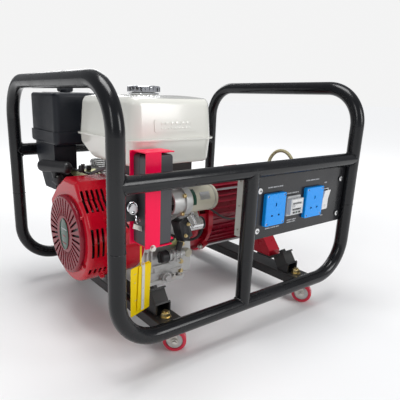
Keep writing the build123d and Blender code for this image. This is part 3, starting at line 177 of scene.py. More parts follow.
def edge_wear_group():
    """Mask that is 1 on sharp outer edges, broken up by noise."""
    group, given, out = new_group(
        "edge wear", [("Radius", FLOAT, 0.0015), ("Amount", FLOAT, 0.5), ("Scale", FLOAT, 60.0)],
        [("Mask", FLOAT)])
    place = add_node(group, "TexCoord")
    bevel = add_node(group, "Bevel", {"samples": 4}, Radius=given.outputs["Radius"])
    plain = add_node(group, "NewGeometry")
    dot = add_node(group, "VectorMath", {"operation": "DOT_PRODUCT"},
                   in0=bevel.outputs["Normal"], in1=plain.outputs["Normal"])
    edge = add_node(group, "MapRange", Value=dot.outputs["Value"],
                    From_Min=0.99, From_Max=0.8)
    noise = add_node(group, "TexNoise", Vector=place.outputs["Object"],
                     Scale=given.outputs["Scale"], Detail=5.0)
    patch = add_node(group, "MapRange", Value=noise.outputs["Fac"],
                     From_Min=0.42, From_Max=0.62)
    both = add_node(group, "Math", {"operation": "MULTIPLY"},
                    in0=edge.outputs["Result"], in1=patch.outputs["Result"])
    mask = add_node(group, "Math", {"operation": "MULTIPLY", "use_clamp": True},
                    in0=both.outputs[0], in1=given.outputs["Amount"])
    group.links.new(mask.outputs[0], out.inputs["Mask"])
    return group


def grain_group():
    """Fine surface height, with slow waves under it and a value for roughness."""
    group, given, out = new_group(
        "grain", [("Fine", FLOAT, 900.0), ("Broad", FLOAT, 25.0), ("Share", FLOAT, 0.6)],
        [("Height", FLOAT), ("Cloud", FLOAT)])
    place = add_node(group, "TexCoord")
    fine = add_node(group, "TexNoise", Vector=place.outputs["Object"],
                    Scale=given.outputs["Fine"], Detail=3.0)
    broad = add_node(group, "TexNoise", Vector=place.outputs["Object"],
                     Scale=given.outputs["Broad"], Detail=6.0, Roughness=0.6)
    mix = add_node(group, "Mix", Factor=given.outputs["Share"],
                   in2=broad.outputs["Fac"], in3=fine.outputs["Fac"])
    group.links.new(mix.outputs[0], out.inputs["Height"])
    group.links.new(broad.outputs["Fac"], out.inputs["Cloud"])
    return group


def dust_group():
    """Mask of dust on faces that look up, and a little on all other faces."""
    group, given, out = new_group(
        "dust", [("Amount", FLOAT, 0.3), ("Scale", FLOAT, 14.0)], [("Mask", FLOAT)])
    place = add_node(group, "TexCoord")
    plain = add_node(group, "NewGeometry")
    parts = add_node(group, "SeparateXYZ", Vector=plain.outputs["Normal"])
    up = add_node(group, "MapRange", Value=parts.outputs["Z"],
                  From_Min=0.1, From_Max=1.0, To_Min=0.1, To_Max=1.0)
    noise = add_node(group, "TexNoise", Vector=place.outputs["Object"],
                     Scale=given.outputs["Scale"], Detail=8.0, Roughness=0.65)
    patch = add_node(group, "MapRange", Value=noise.outputs["Fac"],
                     From_Min=0.35, From_Max=0.75)
    both = add_node(group, "Math", {"operation": "MULTIPLY"},
                    in0=up.outputs["Result"], in1=patch.outputs["Result"])
    mask = add_node(group, "Math", {"operation": "MULTIPLY", "use_clamp": True},
                    in0=both.outputs[0], in1=given.outputs["Amount"])
    group.links.new(mask.outputs[0], out.inputs["Mask"])
    return group


edge_wear = edge_wear_group()
grain = grain_group()
dust = dust_group()


def place_group(tree, group, **values):
    made = tree.nodes.new("ShaderNodeGroup")
    made.node_tree = group
    for key, value in values.items():
        made.inputs[key].default_value = value
    return made


def blend_colour(tree, mask, first, second):
    """Colour that goes from first to second with the mask; each is a colour or a socket."""
    mix = add_node(tree, "Mix", {"data_type": "RGBA"}, in0=mask, in6=first, in7=second)
    return mix.outputs[2]


def rgba(colour, shade=1.0):
    return (colour[0] * shade, colour[1] * shade, colour[2] * shade, 1.0)


DUST_COLOUR = (0.42, 0.40, 0.36)


def finish(name, colour, rough, metal=0.0, coat=0.0, spread=0.1, fine=900.0, broad=20.0, share=0.6,
           bump=0.05, height=0.0006, worn=None, wear=0.0, dusty=0.0,
           rough_spread=0.08, shine=0.5, pattern=None):
    """A painted, moulded or cast finish: cloudy colour, grain, worn edges and dust.

    pattern, when given, takes the tree and the colour so far and returns the colour with
    a pattern on it and, or None, a height for it.
    """
    stuff = bpy.data.materials.new(name)
    stuff.use_nodes = True
    tree = stuff.node_tree
    shader = tree.nodes["Principled BSDF"]
    shader.inputs["Coat Roughness"].default_value = 0.08
    shader.inputs["Specular IOR Level"].default_value = shine
    surface = place_group(tree, grain, Fine=fine, Broad=broad, Share=share)
    cloud = surface.outputs["Cloud"]
    tone = blend_colour(tree, cloud, rgba(colour, 1 - spread), rgba(colour, 1 + spread))
    extra_height = None
    if pattern is not None:
        tone, extra_height = pattern(tree, tone)
    dull = add_node(tree, "MapRange", Value=cloud, From_Min=0.3, From_Max=0.7,
                    To_Min=max(rough - rough_spread, 0.02), To_Max=min(rough + rough_spread, 1.0))
    rough_now = dull.outputs["Result"]
    if wear > 0:
        mask = place_group(tree, edge_wear, Amount=wear).outputs["Mask"]
        tone = blend_colour(tree, mask, tone, rgba(worn or (0.5, 0.5, 0.5)))
    if dusty > 0:
        mask = place_group(tree, dust, Amount=dusty).outputs["Mask"]
        tone = blend_colour(tree, mask, tone, rgba(DUST_COLOUR))
        rougher = add_node(tree, "Math", {"operation": "ADD", "use_clamp": True},
                           in0=rough_now, in1=mask)
        rough_now = rougher.outputs[0]
    tree.links.new(tone, shader.inputs["Base Color"])
    tree.links.new(rough_now, shader.inputs["Roughness"])
    shader.inputs["Metallic"].default_value = metal
    shader.inputs["Coat Weight"].default_value = coat
    relief = add_node(tree, "Bump", Strength=bump, Distance=height,
                      Height=surface.outputs["Height"])
    if extra_height is not None:
        relief = add_node(tree, "Bump", Strength=0.6, Distance=0.0006,
                          Height=extra_height, Normal=relief.outputs["Normal"])
    tree.links.new(relief.outputs["Normal"], shader.inputs["Normal"])
    return stuff


def grey(tone):
    return (tone, tone, tone)


frame_paint = finish("frame powder coat", (0.004, 0.0045, 0.006), 0.24, coat=0.12, spread=0.25, fine=500,
                     bump=0.06, height=0.0003, worn=(0.04, 0.04, 0.045), wear=0.2, dusty=0.015, shine=0.32)
bracket_paint = finish("bracket paint", (0.011, 0.011, 0.012), 0.4, spread=0.3, fine=420, bump=0.15,
                       worn=(0.12, 0.115, 0.11), wear=0.4, dusty=0.06, shine=0.4)
zinc = finish("zinc plate", (0.62, 0.6, 0.56), 0.34, metal=1.0, spread=0.2, fine=300, bump=0.1,
              worn=(0.8, 0.8, 0.78), wear=0.4)
gold_zinc = finish("yellow zinc plate", (0.66, 0.53, 0.27), 0.32, metal=1.0, spread=0.22, fine=300, bump=0.1,
                   worn=(0.8, 0.72, 0.5), wear=0.4)
wheel_red = finish("red wheel tread", (0.62, 0.012, 0.045), 0.3, coat=0.3, spread=0.12, dusty=0.08)
wheel_grey = finish("wheel hub grey", (0.55, 0.55, 0.54), 0.35, bump=0.08, dusty=0.1)
black_rubber = finish("black rubber", grey(0.018), 0.62, spread=0.25, fine=700, bump=0.2, dusty=0.12)
cast_alloy = finish("cast alloy", (0.58, 0.58, 0.57), 0.42, metal=0.75, spread=0.14, fine=620, broad=40,
                    share=0.8, bump=0.55, height=0.0007, worn=(0.85, 0.85, 0.84), wear=0.6, dusty=0.1)
bright_alloy = finish("machined alloy", grey(0.74), 0.27, metal=0.95, bump=0.12,
                      worn=grey(0.9), wear=0.5)
steel = finish("plain steel", (0.5, 0.5, 0.51), 0.33, metal=1.0, spread=0.15, bump=0.1,
               worn=grey(0.75), wear=0.4)
iron = finish("cast iron", grey(0.16), 0.55, metal=0.8, spread=0.2, fine=500, bump=0.5)
red_gloss = finish("gloss red", (0.5, 0.0005, 0.014), 0.22, coat=0.18, spread=0.12, fine=260,
                   worn=(0.65, 0.1, 0.12), wear=0.25, dusty=0.03, shine=0.3)
maroon_gloss = finish("dark red gloss", (0.22, 0.0015, 0.014), 0.26, coat=0.1, spread=0.14, fine=260,
                      worn=(0.5, 0.12, 0.12), wear=0.3, dusty=0.03, shine=0.3)
alternator_red = finish("alternator red", (0.2, 0.001, 0.014), 0.3, coat=0.2, spread=0.2, fine=300, bump=0.12,
                        worn=(0.55, 0.05, 0.09), wear=0.5, dusty=0.04, shine=0.3)
bell_red = finish("end bell red", (0.36, 0.001, 0.014), 0.3, coat=0.2, spread=0.16, fine=350, bump=0.25,
                  worn=(0.6, 0.1, 0.12), wear=0.35, dusty=0.05, shine=0.3)
tank_ivory = finish("tank ivory", (0.74, 0.735, 0.68), 0.2, coat=0.7, spread=0.02, fine=220, bump=0.03,
                    worn=(0.85, 0.85, 0.82), wear=0.15, rough_spread=0.03)
chrome = finish("chrome", (0.82, 0.83, 0.86), 0.09, metal=1.0, spread=0.04, bump=0.02, rough_spread=0.03)
air_black = finish("air cleaner plastic", (0.007, 0.009, 0.014), 0.4, spread=0.15, fine=1100, bump=0.2,
                   worn=(0.05, 0.055, 0.06), wear=0.25, dusty=0.01, shine=0.3)
black_plastic = finish("black plastic", (0.015, 0.015, 0.017), 0.38, spread=0.2, fine=1000, bump=0.2,
                       worn=grey(0.06), wear=0.3, dusty=0.05)
battery_case = finish("battery case", (0.05, 0.05, 0.056), 0.45, spread=0.12, fine=1200, bump=0.3,
                      worn=(0.12, 0.12, 0.125), wear=0.35, dusty=0.05)
strap_red = finish("bright red paint", (1.0, 0.0, 0.07), 0.34, coat=0.08, spread=0.07, fine=300, bump=0.06,
                   worn=(0.45, 0.02, 0.05), wear=0.25, shine=0.2)
panel_black = finish("panel black", (0.012, 0.012, 0.014), 0.3, coat=0.2, spread=0.15, fine=700, bump=0.08,
                     worn=grey(0.1), wear=0.3, dusty=0.02, shine=0.3)
panel_grey = finish("panel box grey", (0.5, 0.51, 0.48), 0.4, spread=0.06, fine=400, bump=0.1,
                    worn=(0.65, 0.65, 0.62), wear=0.3, dusty=0.04)
socket_blue = finish("outlet blue", (0.0, 0.3, 0.88), 0.3, coat=0.15, spread=0.04, fine=1300, bump=0.12,
                     worn=(0.2, 0.45, 0.85), wear=0.12, shine=0.35)
switch_grey = finish("switch grey", (0.55, 0.56, 0.57), 0.35, spread=0.04, fine=1200, bump=0.15,
                     worn=grey(0.7), wear=0.2)
switch_white = finish("switch white", grey(0.74), 0.3, spread=0.03, fine=1200, bump=0.1)
starter_beige = finish("starter beige", (0.56, 0.53, 0.42), 0.3, coat=0.3, spread=0.08, fine=300, bump=0.06,
                       worn=(0.6, 0.58, 0.5), wear=0.3)
muffler_black = finish("heat-proof black", (0.03, 0.028, 0.027), 0.62, spread=0.35, fine=500, bump=0.4,
                       worn=(0.14, 0.1, 0.08), wear=0.5, dusty=0.1)
rotor_varnish = finish("rotor varnish", (0.22, 0.05, 0.03), 0.4, spread=0.2, bump=0.3)
tag_yellow = finish("tag yellow", (1.0, 0.72, 0.0), 0.5, spread=0.03, shine=0.25)
paper_white = finish("paper white", (0.72, 0.72, 0.66), 0.6, spread=0.06, bump=0.15)
ink_black = finish("printed black", grey(0.02), 0.5, spread=0.2)
ink_grey = finish("printed grey", (0.42, 0.43, 0.45), 0.5, spread=0.15)
label_green = finish("label green", (0.01, 0.06, 0.035), 0.3, coat=0.4)
brass = finish("brass", (0.72, 0.5, 0.2), 0.28, metal=1.0, spread=0.12, bump=0.08)
olive_plate = finish("olive zinc", (0.42, 0.42, 0.2), 0.4, metal=0.8, spread=0.25, fine=300, bump=0.12,
                     worn=(0.6, 0.6, 0.4), wear=0.4)
hose_grey = finish("grey hose", (0.2, 0.2, 0.21), 0.5, spread=0.15, fine=700, bump=0.15)


def paint(material, *names):
    for name in names:
        slots = nodes[name].data.materials
        if len(slots) == 0:
            slots.append(material)
        for number in range(len(slots)):
            slots[number] = material


for material, names in (
    (frame_paint, "frame_front_tube frame_rear_tube frame_left_hoop frame_right_hoop front_mid_rail rear_mid_rail "
                  "panel_post"),
    (bracket_paint, "left_cross_member right_cross_member mount_brackets tank_bracket"),
    (gold_zinc, "caster_stems"),
    (black_rubber, "mount_rubbers"),
    (cast_alloy, "crankcase crankcase_cover cylinder_head carburettor starter_housing"),
    (bright_alloy, "valve_cover starter_solenoid"),
    (red_gloss, "fan_cover"),
    (maroon_gloss, "recoil_cover"),
    (air_black, "air_cleaner_base air_cleaner_cover air_cleaner_nut"),
    (black_plastic, "starter_grip oil_filler_cap key_switch choke_lever recoil_pulley"),
    (steel, "crankshaft ignition_key"),
    (iron, "flywheel"),
    (rotor_varnish, "alternator_rotor"),
    (alternator_red, "alternator_stator"),
    (bell_red, "alternator_front_bell alternator_end_bell"),
    (starter_beige, "starter_motor"),
    (tank_ivory, "fuel_tank_upper fuel_tank_lower"),
    (chrome, "fuel_cap"),
    (muffler_black, "muffler"),
    (battery_case, "battery"),
    (strap_red, "battery_bracket"),
    (panel_black, "panel_plate"),
    (panel_grey, "panel_box"),
    (socket_blue, "sockets"),
    (switch_grey, "circuit_breaker"),
    (switch_white, "rocker_switch breaker_toggle"),
    (tag_yellow, "inspection_tag"),
    (zinc, "caster_fork_1 caster_fork_2 caster_fork_3 caster_fork_4"),
    (wheel_red, "caster_wheel_1 caster_wheel_2 caster_wheel_3 caster_wheel_4"),
):
    paint(material, *names.split())


# ---- cords
def woven_sleeve(name, colour, across, along):
    """Braided cloth that follows the cord's own UV map, along in U and round in V."""
    def braid(tree, tone):
        uv = add_node(tree, "UVMap")
        parts = add_node(tree, "SeparateXYZ", Vector=uv.outputs["UV"])
        strands = []
        for sign in (-1, 1):
            u = add_node(tree, "Math", {"operation": "MULTIPLY"}, in0=parts.outputs["X"], in1=along)
            v = add_node(tree, "Math", {"operation": "MULTIPLY"}, in0=parts.outputs["Y"],
                         in1=across * sign)
            both = add_node(tree, "Math", {"operation": "ADD"}, in0=u.outputs[0], in1=v.outputs[0])
            wave = add_node(tree, "Math", {"operation": "SINE"}, in0=both.outputs[0])
            strands.append(wave.outputs[0])
        top = add_node(tree, "Math", {"operation": "MAXIMUM"}, in0=strands[0], in1=strands[1])
        # the valleys between strands are painted darker: painted shade in the weave
        shade = add_node(tree, "MapRange", Value=top.outputs[0], From_Min=-0.5, From_Max=1.0)
        dark = blend_colour(tree, shade.outputs["Result"], rgba(colour, 0.45), tone)
        return dark, top.outputs[0]
    return finish(name, colour, 0.7, spread=0.12, fine=1500, bump=0.2, pattern=braid)


def cord_curve(name, points, diameter, material):
    """A smooth round cord through the control points, as one open NURBS spline."""
    curve = bpy.data.curves.new(name, "CURVE")
    curve.dimensions = "3D"
    spline = curve.splines.new("NURBS")
    spline.points.add(len(points) - 1)
    for spot, point in zip(spline.points, points):
        spot.co = (*point, 1.0)
    spline.order_u = 3
    spline.use_endpoint_u = True
    curve.resolution_u = 12
    curve.bevel_depth = diameter / 2
    curve.bevel_resolution = 5
    curve.use_fill_caps = True
    curve.materials.append(material)
    made = bpy.data.objects.new(name, curve)
    link(made)
    return made


def length_of(cord):
    """Length of the cord's own line."""
    bare = cord.data.copy()
    bare.bevel_depth = 0
    holder = bpy.data.objects.new("bare", bare)
    link(holder)
    bpy.context.view_layer.update()
    line = bpy.data.meshes.new_from_object(holder.evaluated_get(bpy.context.evaluated_depsgraph_get()))
    total = sum((line.vertices[e.vertices[0]].co - line.vertices[e.vertices[1]].co).length for e in line.edges)
    bpy.data.objects.remove(holder)
    bpy.data.meshes.remove(line)
    return total


set_camera()
set_studio()
lay_floor()

sleeve = woven_sleeve("glass-fibre sleeve", (0.48, 0.43, 0.25), 6 * math.tau, 40 * math.tau)
LEAD_D = 0.009
lead_route = [
    at(238, -80, CRANK_Z + 70),
    at(238, -80, CRANK_Z + 92),
    at(243, -77, CRANK_Z + 119),
    at(249, -81, CRANK_Z + 146),
    at(252, -99, CRANK_Z + 164),
    at(255, -125, CRANK_Z + 165),
    at(257, -146, CRANK_Z + 147),
    at(259, -155, CRANK_Z + 121),
    at(260, -172, CRANK_Z + 100),
    at(260, -197, CRANK_Z + 91),
    at(260, -217.5, CRANK_Z + 91),
]
lead = cord_curve("lead_in_sleeve", lead_route, LEAD_D, sleeve)
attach(lead, "frame")
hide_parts("alternator_lead")
round(length_of(lead), 4)

# ---- making and placing pieces
def clear_selection():
    if bpy.context.mode != "OBJECT":
        bpy.ops.object.mode_set(mode="OBJECT")
    bpy.ops.object.select_all(action="DESELECT")


def only(piece):
    """Make a piece the one that is selected and active."""
    clear_selection()
    piece.select_set(True)
    bpy.context.view_layer.objects.active = piece


def pick_faces(piece, wanted):
    """Select the faces whose centre and normal please the wanted test, in edit mode."""
    shape = bmesh.from_edit_mesh(piece.data)
    shape.faces.ensure_lookup_table()
    for face in shape.faces:
        face.select_set(bool(wanted(face.calc_center_median(), face.normal)))
    shape.select_flush_mode()
    bmesh.update_edit_mesh(piece.data)


def step_top(piece, steps):
    """Inset a piece's top face and move it, step after step."""
    bpy.ops.object.mode_set(mode="EDIT")
    pick_faces(piece, lambda centre, normal: normal.z > 0.9)
    for inward, push in steps:
        bpy.ops.mesh.inset(thickness=inward, depth=0)
        if push:
            bpy.ops.transform.translate(value=(0, 0, push))


def settle(piece, name, material, edge=0.0, segments=2):
    """Name a new piece, round its edges, and put its place into its mesh."""
    only(piece)
    piece.name = piece.data.name = name
    bpy.ops.object.transform_apply(location=True, rotation=True, scale=True)
    if edge > 0:
        rounder = piece.modifiers.new("edges", "BEVEL")
        rounder.width = edge
        rounder.segments = segments
        rounder.limit_method = "ANGLE"
        rounder.angle_limit = math.radians(35)
        bpy.ops.object.modifier_apply(modifier="edges")
    bpy.ops.object.shade_smooth_by_angle(angle=math.radians(35))
    piece.data.materials.clear()
    piece.data.materials.append(material)
    return piece


def as_mesh(line, name, material):
    """A curve made into a mesh piece."""
    only(line)
    bpy.ops.object.convert(target="MESH")
    return settle(line, name, material)


def turned(name, radius, length, material, sides=32, edge=0.0005, steps=(), top=None):
    """Turned part standing on the origin along +Z; steps inset its top face and move it."""
    clear_selection()
    if top is None:
        bpy.ops.mesh.primitive_cylinder_add(vertices=sides, radius=radius, depth=length,
                                            location=(0, 0, length / 2))
    else:
        bpy.ops.mesh.primitive_cone_add(vertices=sides, radius1=radius, radius2=top, depth=length,
                                        location=(0, 0, length / 2))
    piece = bpy.context.object
    step_top(piece, steps)
    return settle(piece, name, material, edge)


def slab(name, size, material, edge=0.0006, steps=()):
    """Flat part centred on the origin, its face up; steps inset its top face and move it."""
    clear_selection()
    bpy.ops.mesh.primitive_cube_add(size=1)
    piece = bpy.context.object
    piece.scale = size
    bpy.ops.object.transform_apply(location=False, rotation=False, scale=True)
    step_top(piece, steps)
    return settle(piece, name, material, edge)


def hoop(name, major, minor, material, around=40, tube=10):
    """Ring lying flat round the origin."""
    clear_selection()
    bpy.ops.mesh.primitive_torus_add(major_radius=major, minor_radius=minor, major_segments=around,
                                     minor_segments=tube)
    return settle(bpy.context.object, name, material)


def placed(point, direction=(0, 0, 1), spin=0.0, stretch=(1, 1, 1)):
    """Place that takes the origin to a point and +Z to a direction."""
    turn = Vector(direction).to_track_quat("Z", "Y").to_matrix().to_4x4()
    return (Matrix.Translation(point) @ turn @ Matrix.Rotation(spin, 4, "Z")
            @ Matrix.Diagonal((*stretch, 1)))


def put(x, y, z, *aim, **more):
    """Place at a point given in millimetres."""
    return placed(at(x, y, z), *aim, **more)


def fit(piece, place, body="frame"):
    """Move a piece's mesh to its place and let it ride on a body."""
    piece.data.transform(place)
    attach(piece, body)
    return piece


def fit_all(piece, places, body="frame"):
    """One piece at every place, each copy with its own mesh."""
    bodies = [body] * len(places) if isinstance(body, str) else body
    name = piece.name
    for number, (place, rides) in enumerate(zip(places, bodies), 1):
        twin = piece.copy()
        twin.data = piece.data.copy()
        twin.name = f"{name}_{number}"
        link(twin)
        fit(twin, place, rides)
    bpy.data.objects.remove(piece)


def joined(name, *parts):
    """Several meshes made one piece."""
    clear_selection()
    for part in parts:
        part.select_set(True)
    bpy.context.view_layer.objects.active = parts[0]
    bpy.ops.object.join()
    parts[0].name = parts[0].data.name = name
    return parts[0]


def laid(piece, place):
    """A piece with its mesh moved to a place."""
    piece.data.transform(place)
    return piece


def fit_joined(name, parts, body="frame"):
    """Meshes that are already where they belong, joined and fitted as one piece."""
    fit(joined(name, *parts), HERE, body)


def hex_bolt(name, across, tall, material):
    """Bolt head with a washer and a dished top, standing on the origin."""
    washer = turned(name + "_washer", across * 0.72, 0.0012, material, sides=28, edge=0.0003)
    head = turned(name, across / math.sqrt(3), tall, material, sides=6, edge=0.0004,
                  steps=((across * 0.09, 0.0002), (across * 0.12, -0.0005)))
    head.data.transform(Matrix.Translation((0, 0, 0.001)))
    return joined(name, head, washer)


def screw_head(name, radius, tall, material):
    """Round screw head standing on the origin, its cross recess a black cross laid on top: painted shade."""
    head = turned(name, radius, tall * 0.5, material, sides=28, edge=0.0002,
                  steps=((radius * 0.22, tall * 0.3), (radius * 0.3, tall * 0.2)))
    bars = []
    # black bars stand for the cross recess: painted shade, not a cut
    for turn in (0, math.pi / 2):
        bar = slab(name + "_recess_shade", (radius * 1.0, radius * 0.2, 0.0004), ink_black, edge=0.0001)
        bars.append(laid(bar, Matrix.Rotation(turn, 4, "Z") @ Matrix.Translation((0, 0, tall))))
    return joined(name, head, *bars)


X, Y, Z = Vector((1, 0, 0)), Vector((0, 1, 0)), Vector((0, 0, 1))
HERE = Matrix.Identity(4)      # place of a mesh that is already where it belongs


def round_crank(x, radius, degrees):
    """Point at an angle round the crankshaft, 0 towards +Y and 90 up."""
    turn = math.radians(degrees)
    return at(x, CRANK_Y + radius * math.cos(turn), CRANK_Z + radius * math.sin(turn))


# ---- casters
def make_caster_hubs():
    headings = (-38, 24, -58, -12)
    places_side, bodies_side, nut_places, nut_bodies = [], [], [], []
    stems = [(x, y) for x in (-197, 222) for y in (-222, 222)]
    for number, ((x, y), heading) in enumerate(zip(stems, headings), 1):
        turn = math.radians(heading)
        axle = Vector((-math.sin(turn), math.cos(turn), 0))
        centre = at(x + 20 * math.cos(turn), y + 20 * math.sin(turn), 25)
        for side in (-1, 1):
            places_side.append(placed(centre + axle * side * 0.0072, axle * side))
            bodies_side.append(f"wheel_{number}")
            nut_places.append(placed(centre + axle * side * 0.0160, axle * side))
            nut_bodies.append(f"fork_{number}")
    fit_all(turned("caster_hub", 0.0172, 0.0012, wheel_grey, sides=40, edge=0.0003,
        steps=((0.0022, -0.0005), (0.0035, 0), (0.002, 0.0008), (0.0012, 0))), places_side,
        bodies_side)
    fit_all(hex_bolt("axle_nut", 0.0115, 0.0052, zinc), nut_places, nut_bodies)


# ---- weld beads of the tube frame
def weld_bead(name, points, closed=True, radius=0.0022):
    """Rippled bead of weld along a run of points."""
    line = bpy.data.curves.new(name, "CURVE")
    line.dimensions = "3D"
    spline = line.splines.new("POLY")
    spline.points.add(len(points) - 1)
    # the bead stays within the outermost faces of the frame
    reach = radius * 1.25
    for number, (spot, point) in enumerate(zip(spline.points, points)):
        x = min(max(point.x, cad_low.x + reach), cad_high.x - reach)
        y = min(max(point.y, cad_low.y + reach), cad_high.y - reach)
        spot.co = (x, y, point.z, 1)
        spot.radius = 1.0 + 0.22 * math.sin(number * 2.4)
    spline.use_cyclic_u = closed
    line.bevel_depth = radius
    line.bevel_resolution = 2
    line.use_fill_caps = True
    bead = bpy.data.objects.new(name, line)
    link(bead)
    fit(as_mesh(bead, name, frame_paint), HERE)


def make_welds():
    tube_r, half_l, half_w, rail_z, mid_z, weld_z = 16.0, 335.5, 268.0, 76.0, 374.0, 259.0
    post_x = -21.0
    turns = [math.tau * number / 72 for number in range(72)]
    saddle = tube_r * 1.02
    # saddle-shaped beads where one tube meets another at a right angle
    for name, rail_level, sign in (("post_weld_low", rail_z, 1), ("post_weld_high", mid_z, -1)):
        weld_bead(name, [at(post_x + saddle * math.cos(turn), -half_w + saddle * math.sin(turn),
                            rail_level + sign * tube_r * abs(math.cos(turn)) * 1.02) for turn in turns])
    for row, y in (("front", -half_w), ("rear", half_w)):
        for end, side in (("left", -1), ("right", 1)):
            points = [at(side * (half_l - tube_r * abs(math.cos(turn)) * 1.02), y + saddle * math.sin(turn),
                         mid_z + saddle * math.cos(turn)) for turn in turns]
            weld_bead(f"rail_weld_{row}_{end}", points)
            ring = [at(side * half_l + tube_r * math.cos(turn), y + tube_r * math.sin(turn), weld_z)
                    for turn in turns]
            weld_bead(f"butt_weld_{row}_{end}", ring, radius=0.0009)
    for number, x in enumerate((-197, 222)):
        for row, side in (("front", -1), ("rear", 1)):
            y = side * (half_w - tube_r - 0.6)
            weld_bead(f"cross_weld_{number}_{row}", [at(x - 27 + n * 1.5, y, rail_z + 0.4) for n in range(37)],
                      closed=False, radius=0.0028)


# ---- outlet panel
PANEL_Y = -262                 # front of the plate
PANEL_MID_Z = 282              # middle of the outlets and switches
OUTLET_X, BREAKER_X, ROCKER_X = (60, 196), 124, 244


def make_panel_details():
    front = -Y
    # printed lines, generic strokes of uneven length
    lines = [
        ("print_socket_top_1", 39, 87, 331), ("print_socket_low_1", 40, 86, 238.5),
        ("print_socket_top_2", 168, 216, 334), ("print_socket_low_2", 168, 213, 245.5),
        ("print_breaker_low_1", 112, 144, 247), ("print_breaker_low_2", 112, 143, 242),
        ("print_breaker_top", 104, 144, 311), ("print_rocker_top", 240, 249, 323),
        ("print_rocker_low", 238, 247, 241),
    ]
    for name, x0, x1, z in lines:
        strokes = []
        x = x0
        number = 0
        while x < x1 - 1:
            wide = min(2.1 + 1.3 * ((number * 7) % 3), x1 - x)
            strokes.append(laid(slab(name, (wide * MM, 2.6 * MM, 0.0002), ink_grey, edge=0),
                                put(x + wide / 2, PANEL_Y - 0.1, z, front)))
            x += wide + 0.9 + 1.6 * (number % 4 == 3)
            number += 1
        fit_joined(name, strokes)
    panel_screw = screw_head("panel_screw", 0.0064, 0.0036, bright_alloy)
    spots = [(12, 238), (12, 327), (302.5, 238), (302.5, 327)]
    fit_all(panel_screw, [put(x, PANEL_Y - 1.6, z, front, spin=x + z) for x, z in spots])
    # screws, pin holes painted black as shade, and pilot light of each outlet
    face_y = PANEL_Y - 9
    corner = screw_head("outlet_screw", 0.0026, 0.0011, bright_alloy)
    corners = [(sx + cx, PANEL_MID_Z + cz) for sx in OUTLET_X for cx in (-26, 26) for cz in (-31, 31)]
    fit_all(corner, [put(x, face_y + 1.4, z, front, spin=x * z) for x, z in corners])
    # each pin hole is a shallow black slab: painted shade inside the hole
    shutters = []
    for sx in OUTLET_X:
        for dx, dz, wide, tall in ((0, 11, 3.8, 7.8), (-11.1, -13, 6.2, 3.8), (11.1, -13, 6.2, 3.8)):
            shutter = slab("shutter", (wide * MM, tall * MM, 0.002), ink_black, edge=0.0002,
                           steps=((0.0006, -0.0004),))
            shutters.append(laid(shutter, put(sx + dx, face_y + 3.0, PANEL_MID_Z + dz, front)))
    fit_joined("pin_shutters", shutters)
    fit_all(turned("pilot_light", 0.0036, 0.0022, brass, sides=24, edge=0.0003,
        steps=((0.0008, 0), (0.0004, 0.0012), (0.0008, 0.0008))), [put(x, PANEL_Y, z, front) for x,
        z in ((97.5, 292), (233.0, 262), (233.0, 300))])
    # breaker: test windows and rating strip on its front
    breaker_y = PANEL_Y - 15
    fit(slab("breaker_rating_strip", (0.034, 0.0058, 0.0006), switch_white, edge=0.0002,
        steps=((0.0012, -0.0002),)), put(BREAKER_X, breaker_y - 0.3, 295.5, front))
    for number, dx in enumerate((-9.5, 0, 9.5), 1):
        fit(slab(f"breaker_window_{number}", (0.0062, 0.0042, 0.0008), ink_black if number != 2 else label_green,
            edge=0.0002, steps=((0.0008, -0.0003),)), put(BREAKER_X + dx, breaker_y - 0.3, 268.6, front))
    # rocker: frame round it and the off mark
    rim_parts = []
    for dx, dz, wide, tall in ((-12.2, 0, 2.4, 53), (12.2, 0, 2.4, 53), (0, 25.3, 26.8, 2.4),
                               (0, -25.3, 26.8, 2.4)):
        rim_parts.append(laid(slab("rocker_rim", (wide * MM, tall * MM, 0.0024), switch_white, edge=0.0005),
                              put(ROCKER_X + dx, PANEL_Y - 1.1, PANEL_MID_Z + dz, front)))
    fit_joined("rocker_rim", rim_parts)
    fit(hoop("rocker_off_mark", 0.0026, 0.0004, ink_grey, around=28, tube=6),
        put(ROCKER_X, PANEL_Y - 5.1, 266, front), "rocker")
    # box lid screws on the side that faces the engine
    side_screw = screw_head("box_screw", 0.0032, 0.0018, zinc)
    box_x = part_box("panel_box")[0].x / MM
    fit_all(side_screw, [put(box_x, -228, z, -X) for z in (236, 290, 345)])


# ---- recoil starter and fan cover
def make_recoil_details():
    face_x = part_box("recoil_cover")[0].x
    low = -X
    fit(turned("recoil_badge", 0.0238, 0.0012, label_green, sides=64, edge=0.0004,
        steps=((0.0015, 0), (0.0008, -0.0005))), placed(Vector((face_x + 0.0002, CRANK_Y * MM, CRANK_Z * MM)),
        low, stretch=(1, 1.5, 1)))
    fit(hoop("recoil_badge_rim", 0.0232, 0.0009, label_green, around=72, tube=8),
        placed(Vector((face_x - 0.0011, CRANK_Y * MM, CRANK_Z * MM)), low, stretch=(1, 1.5, 1)))
    bars = []
    for dz, wide in ((12, 30), (-4, 14), (-21, 20)):
        bar = slab("badge_bar", (wide * MM, 2.6 * MM, 0.0004), ink_grey if dz > 0 else maroon_gloss, edge=0.0001)
        bars.append(laid(bar, placed(Vector((face_x - 0.0011, CRANK_Y * MM, (CRANK_Z + dz) * MM)), low)))
    fit_joined("recoil_badge_bars", bars)
    drum_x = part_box("fan_cover")[0].x / MM
    fit_all(hex_bolt("recoil_bolt", 0.007, 0.003, red_gloss),
        [placed(round_crank(drum_x - 0.2, 94, a), low) for a in (35, 145, 215, 325)])
    # rope guide that the grip rests on, and the rope's first turn
    fit(turned("rope_guide", 0.011, 0.016, black_plastic, edge=0.001, top=0.0145,
        steps=((0.006, 0), (0.0005, -0.004))), put(-292, 78, CRANK_Z + 98, (-0.5, 0.3, 0.8)))
    rope = cord_curve("starter_rope", [at(-298.5, 90.5, CRANK_Z + 118), at(-297, 87, CRANK_Z + 113),
                                       at(-295, 83, CRANK_Z + 108), at(-293, 80, CRANK_Z + 103)], 0.0042, paper_white)
    fit(as_mesh(rope, "starter_rope", paper_white), HERE)


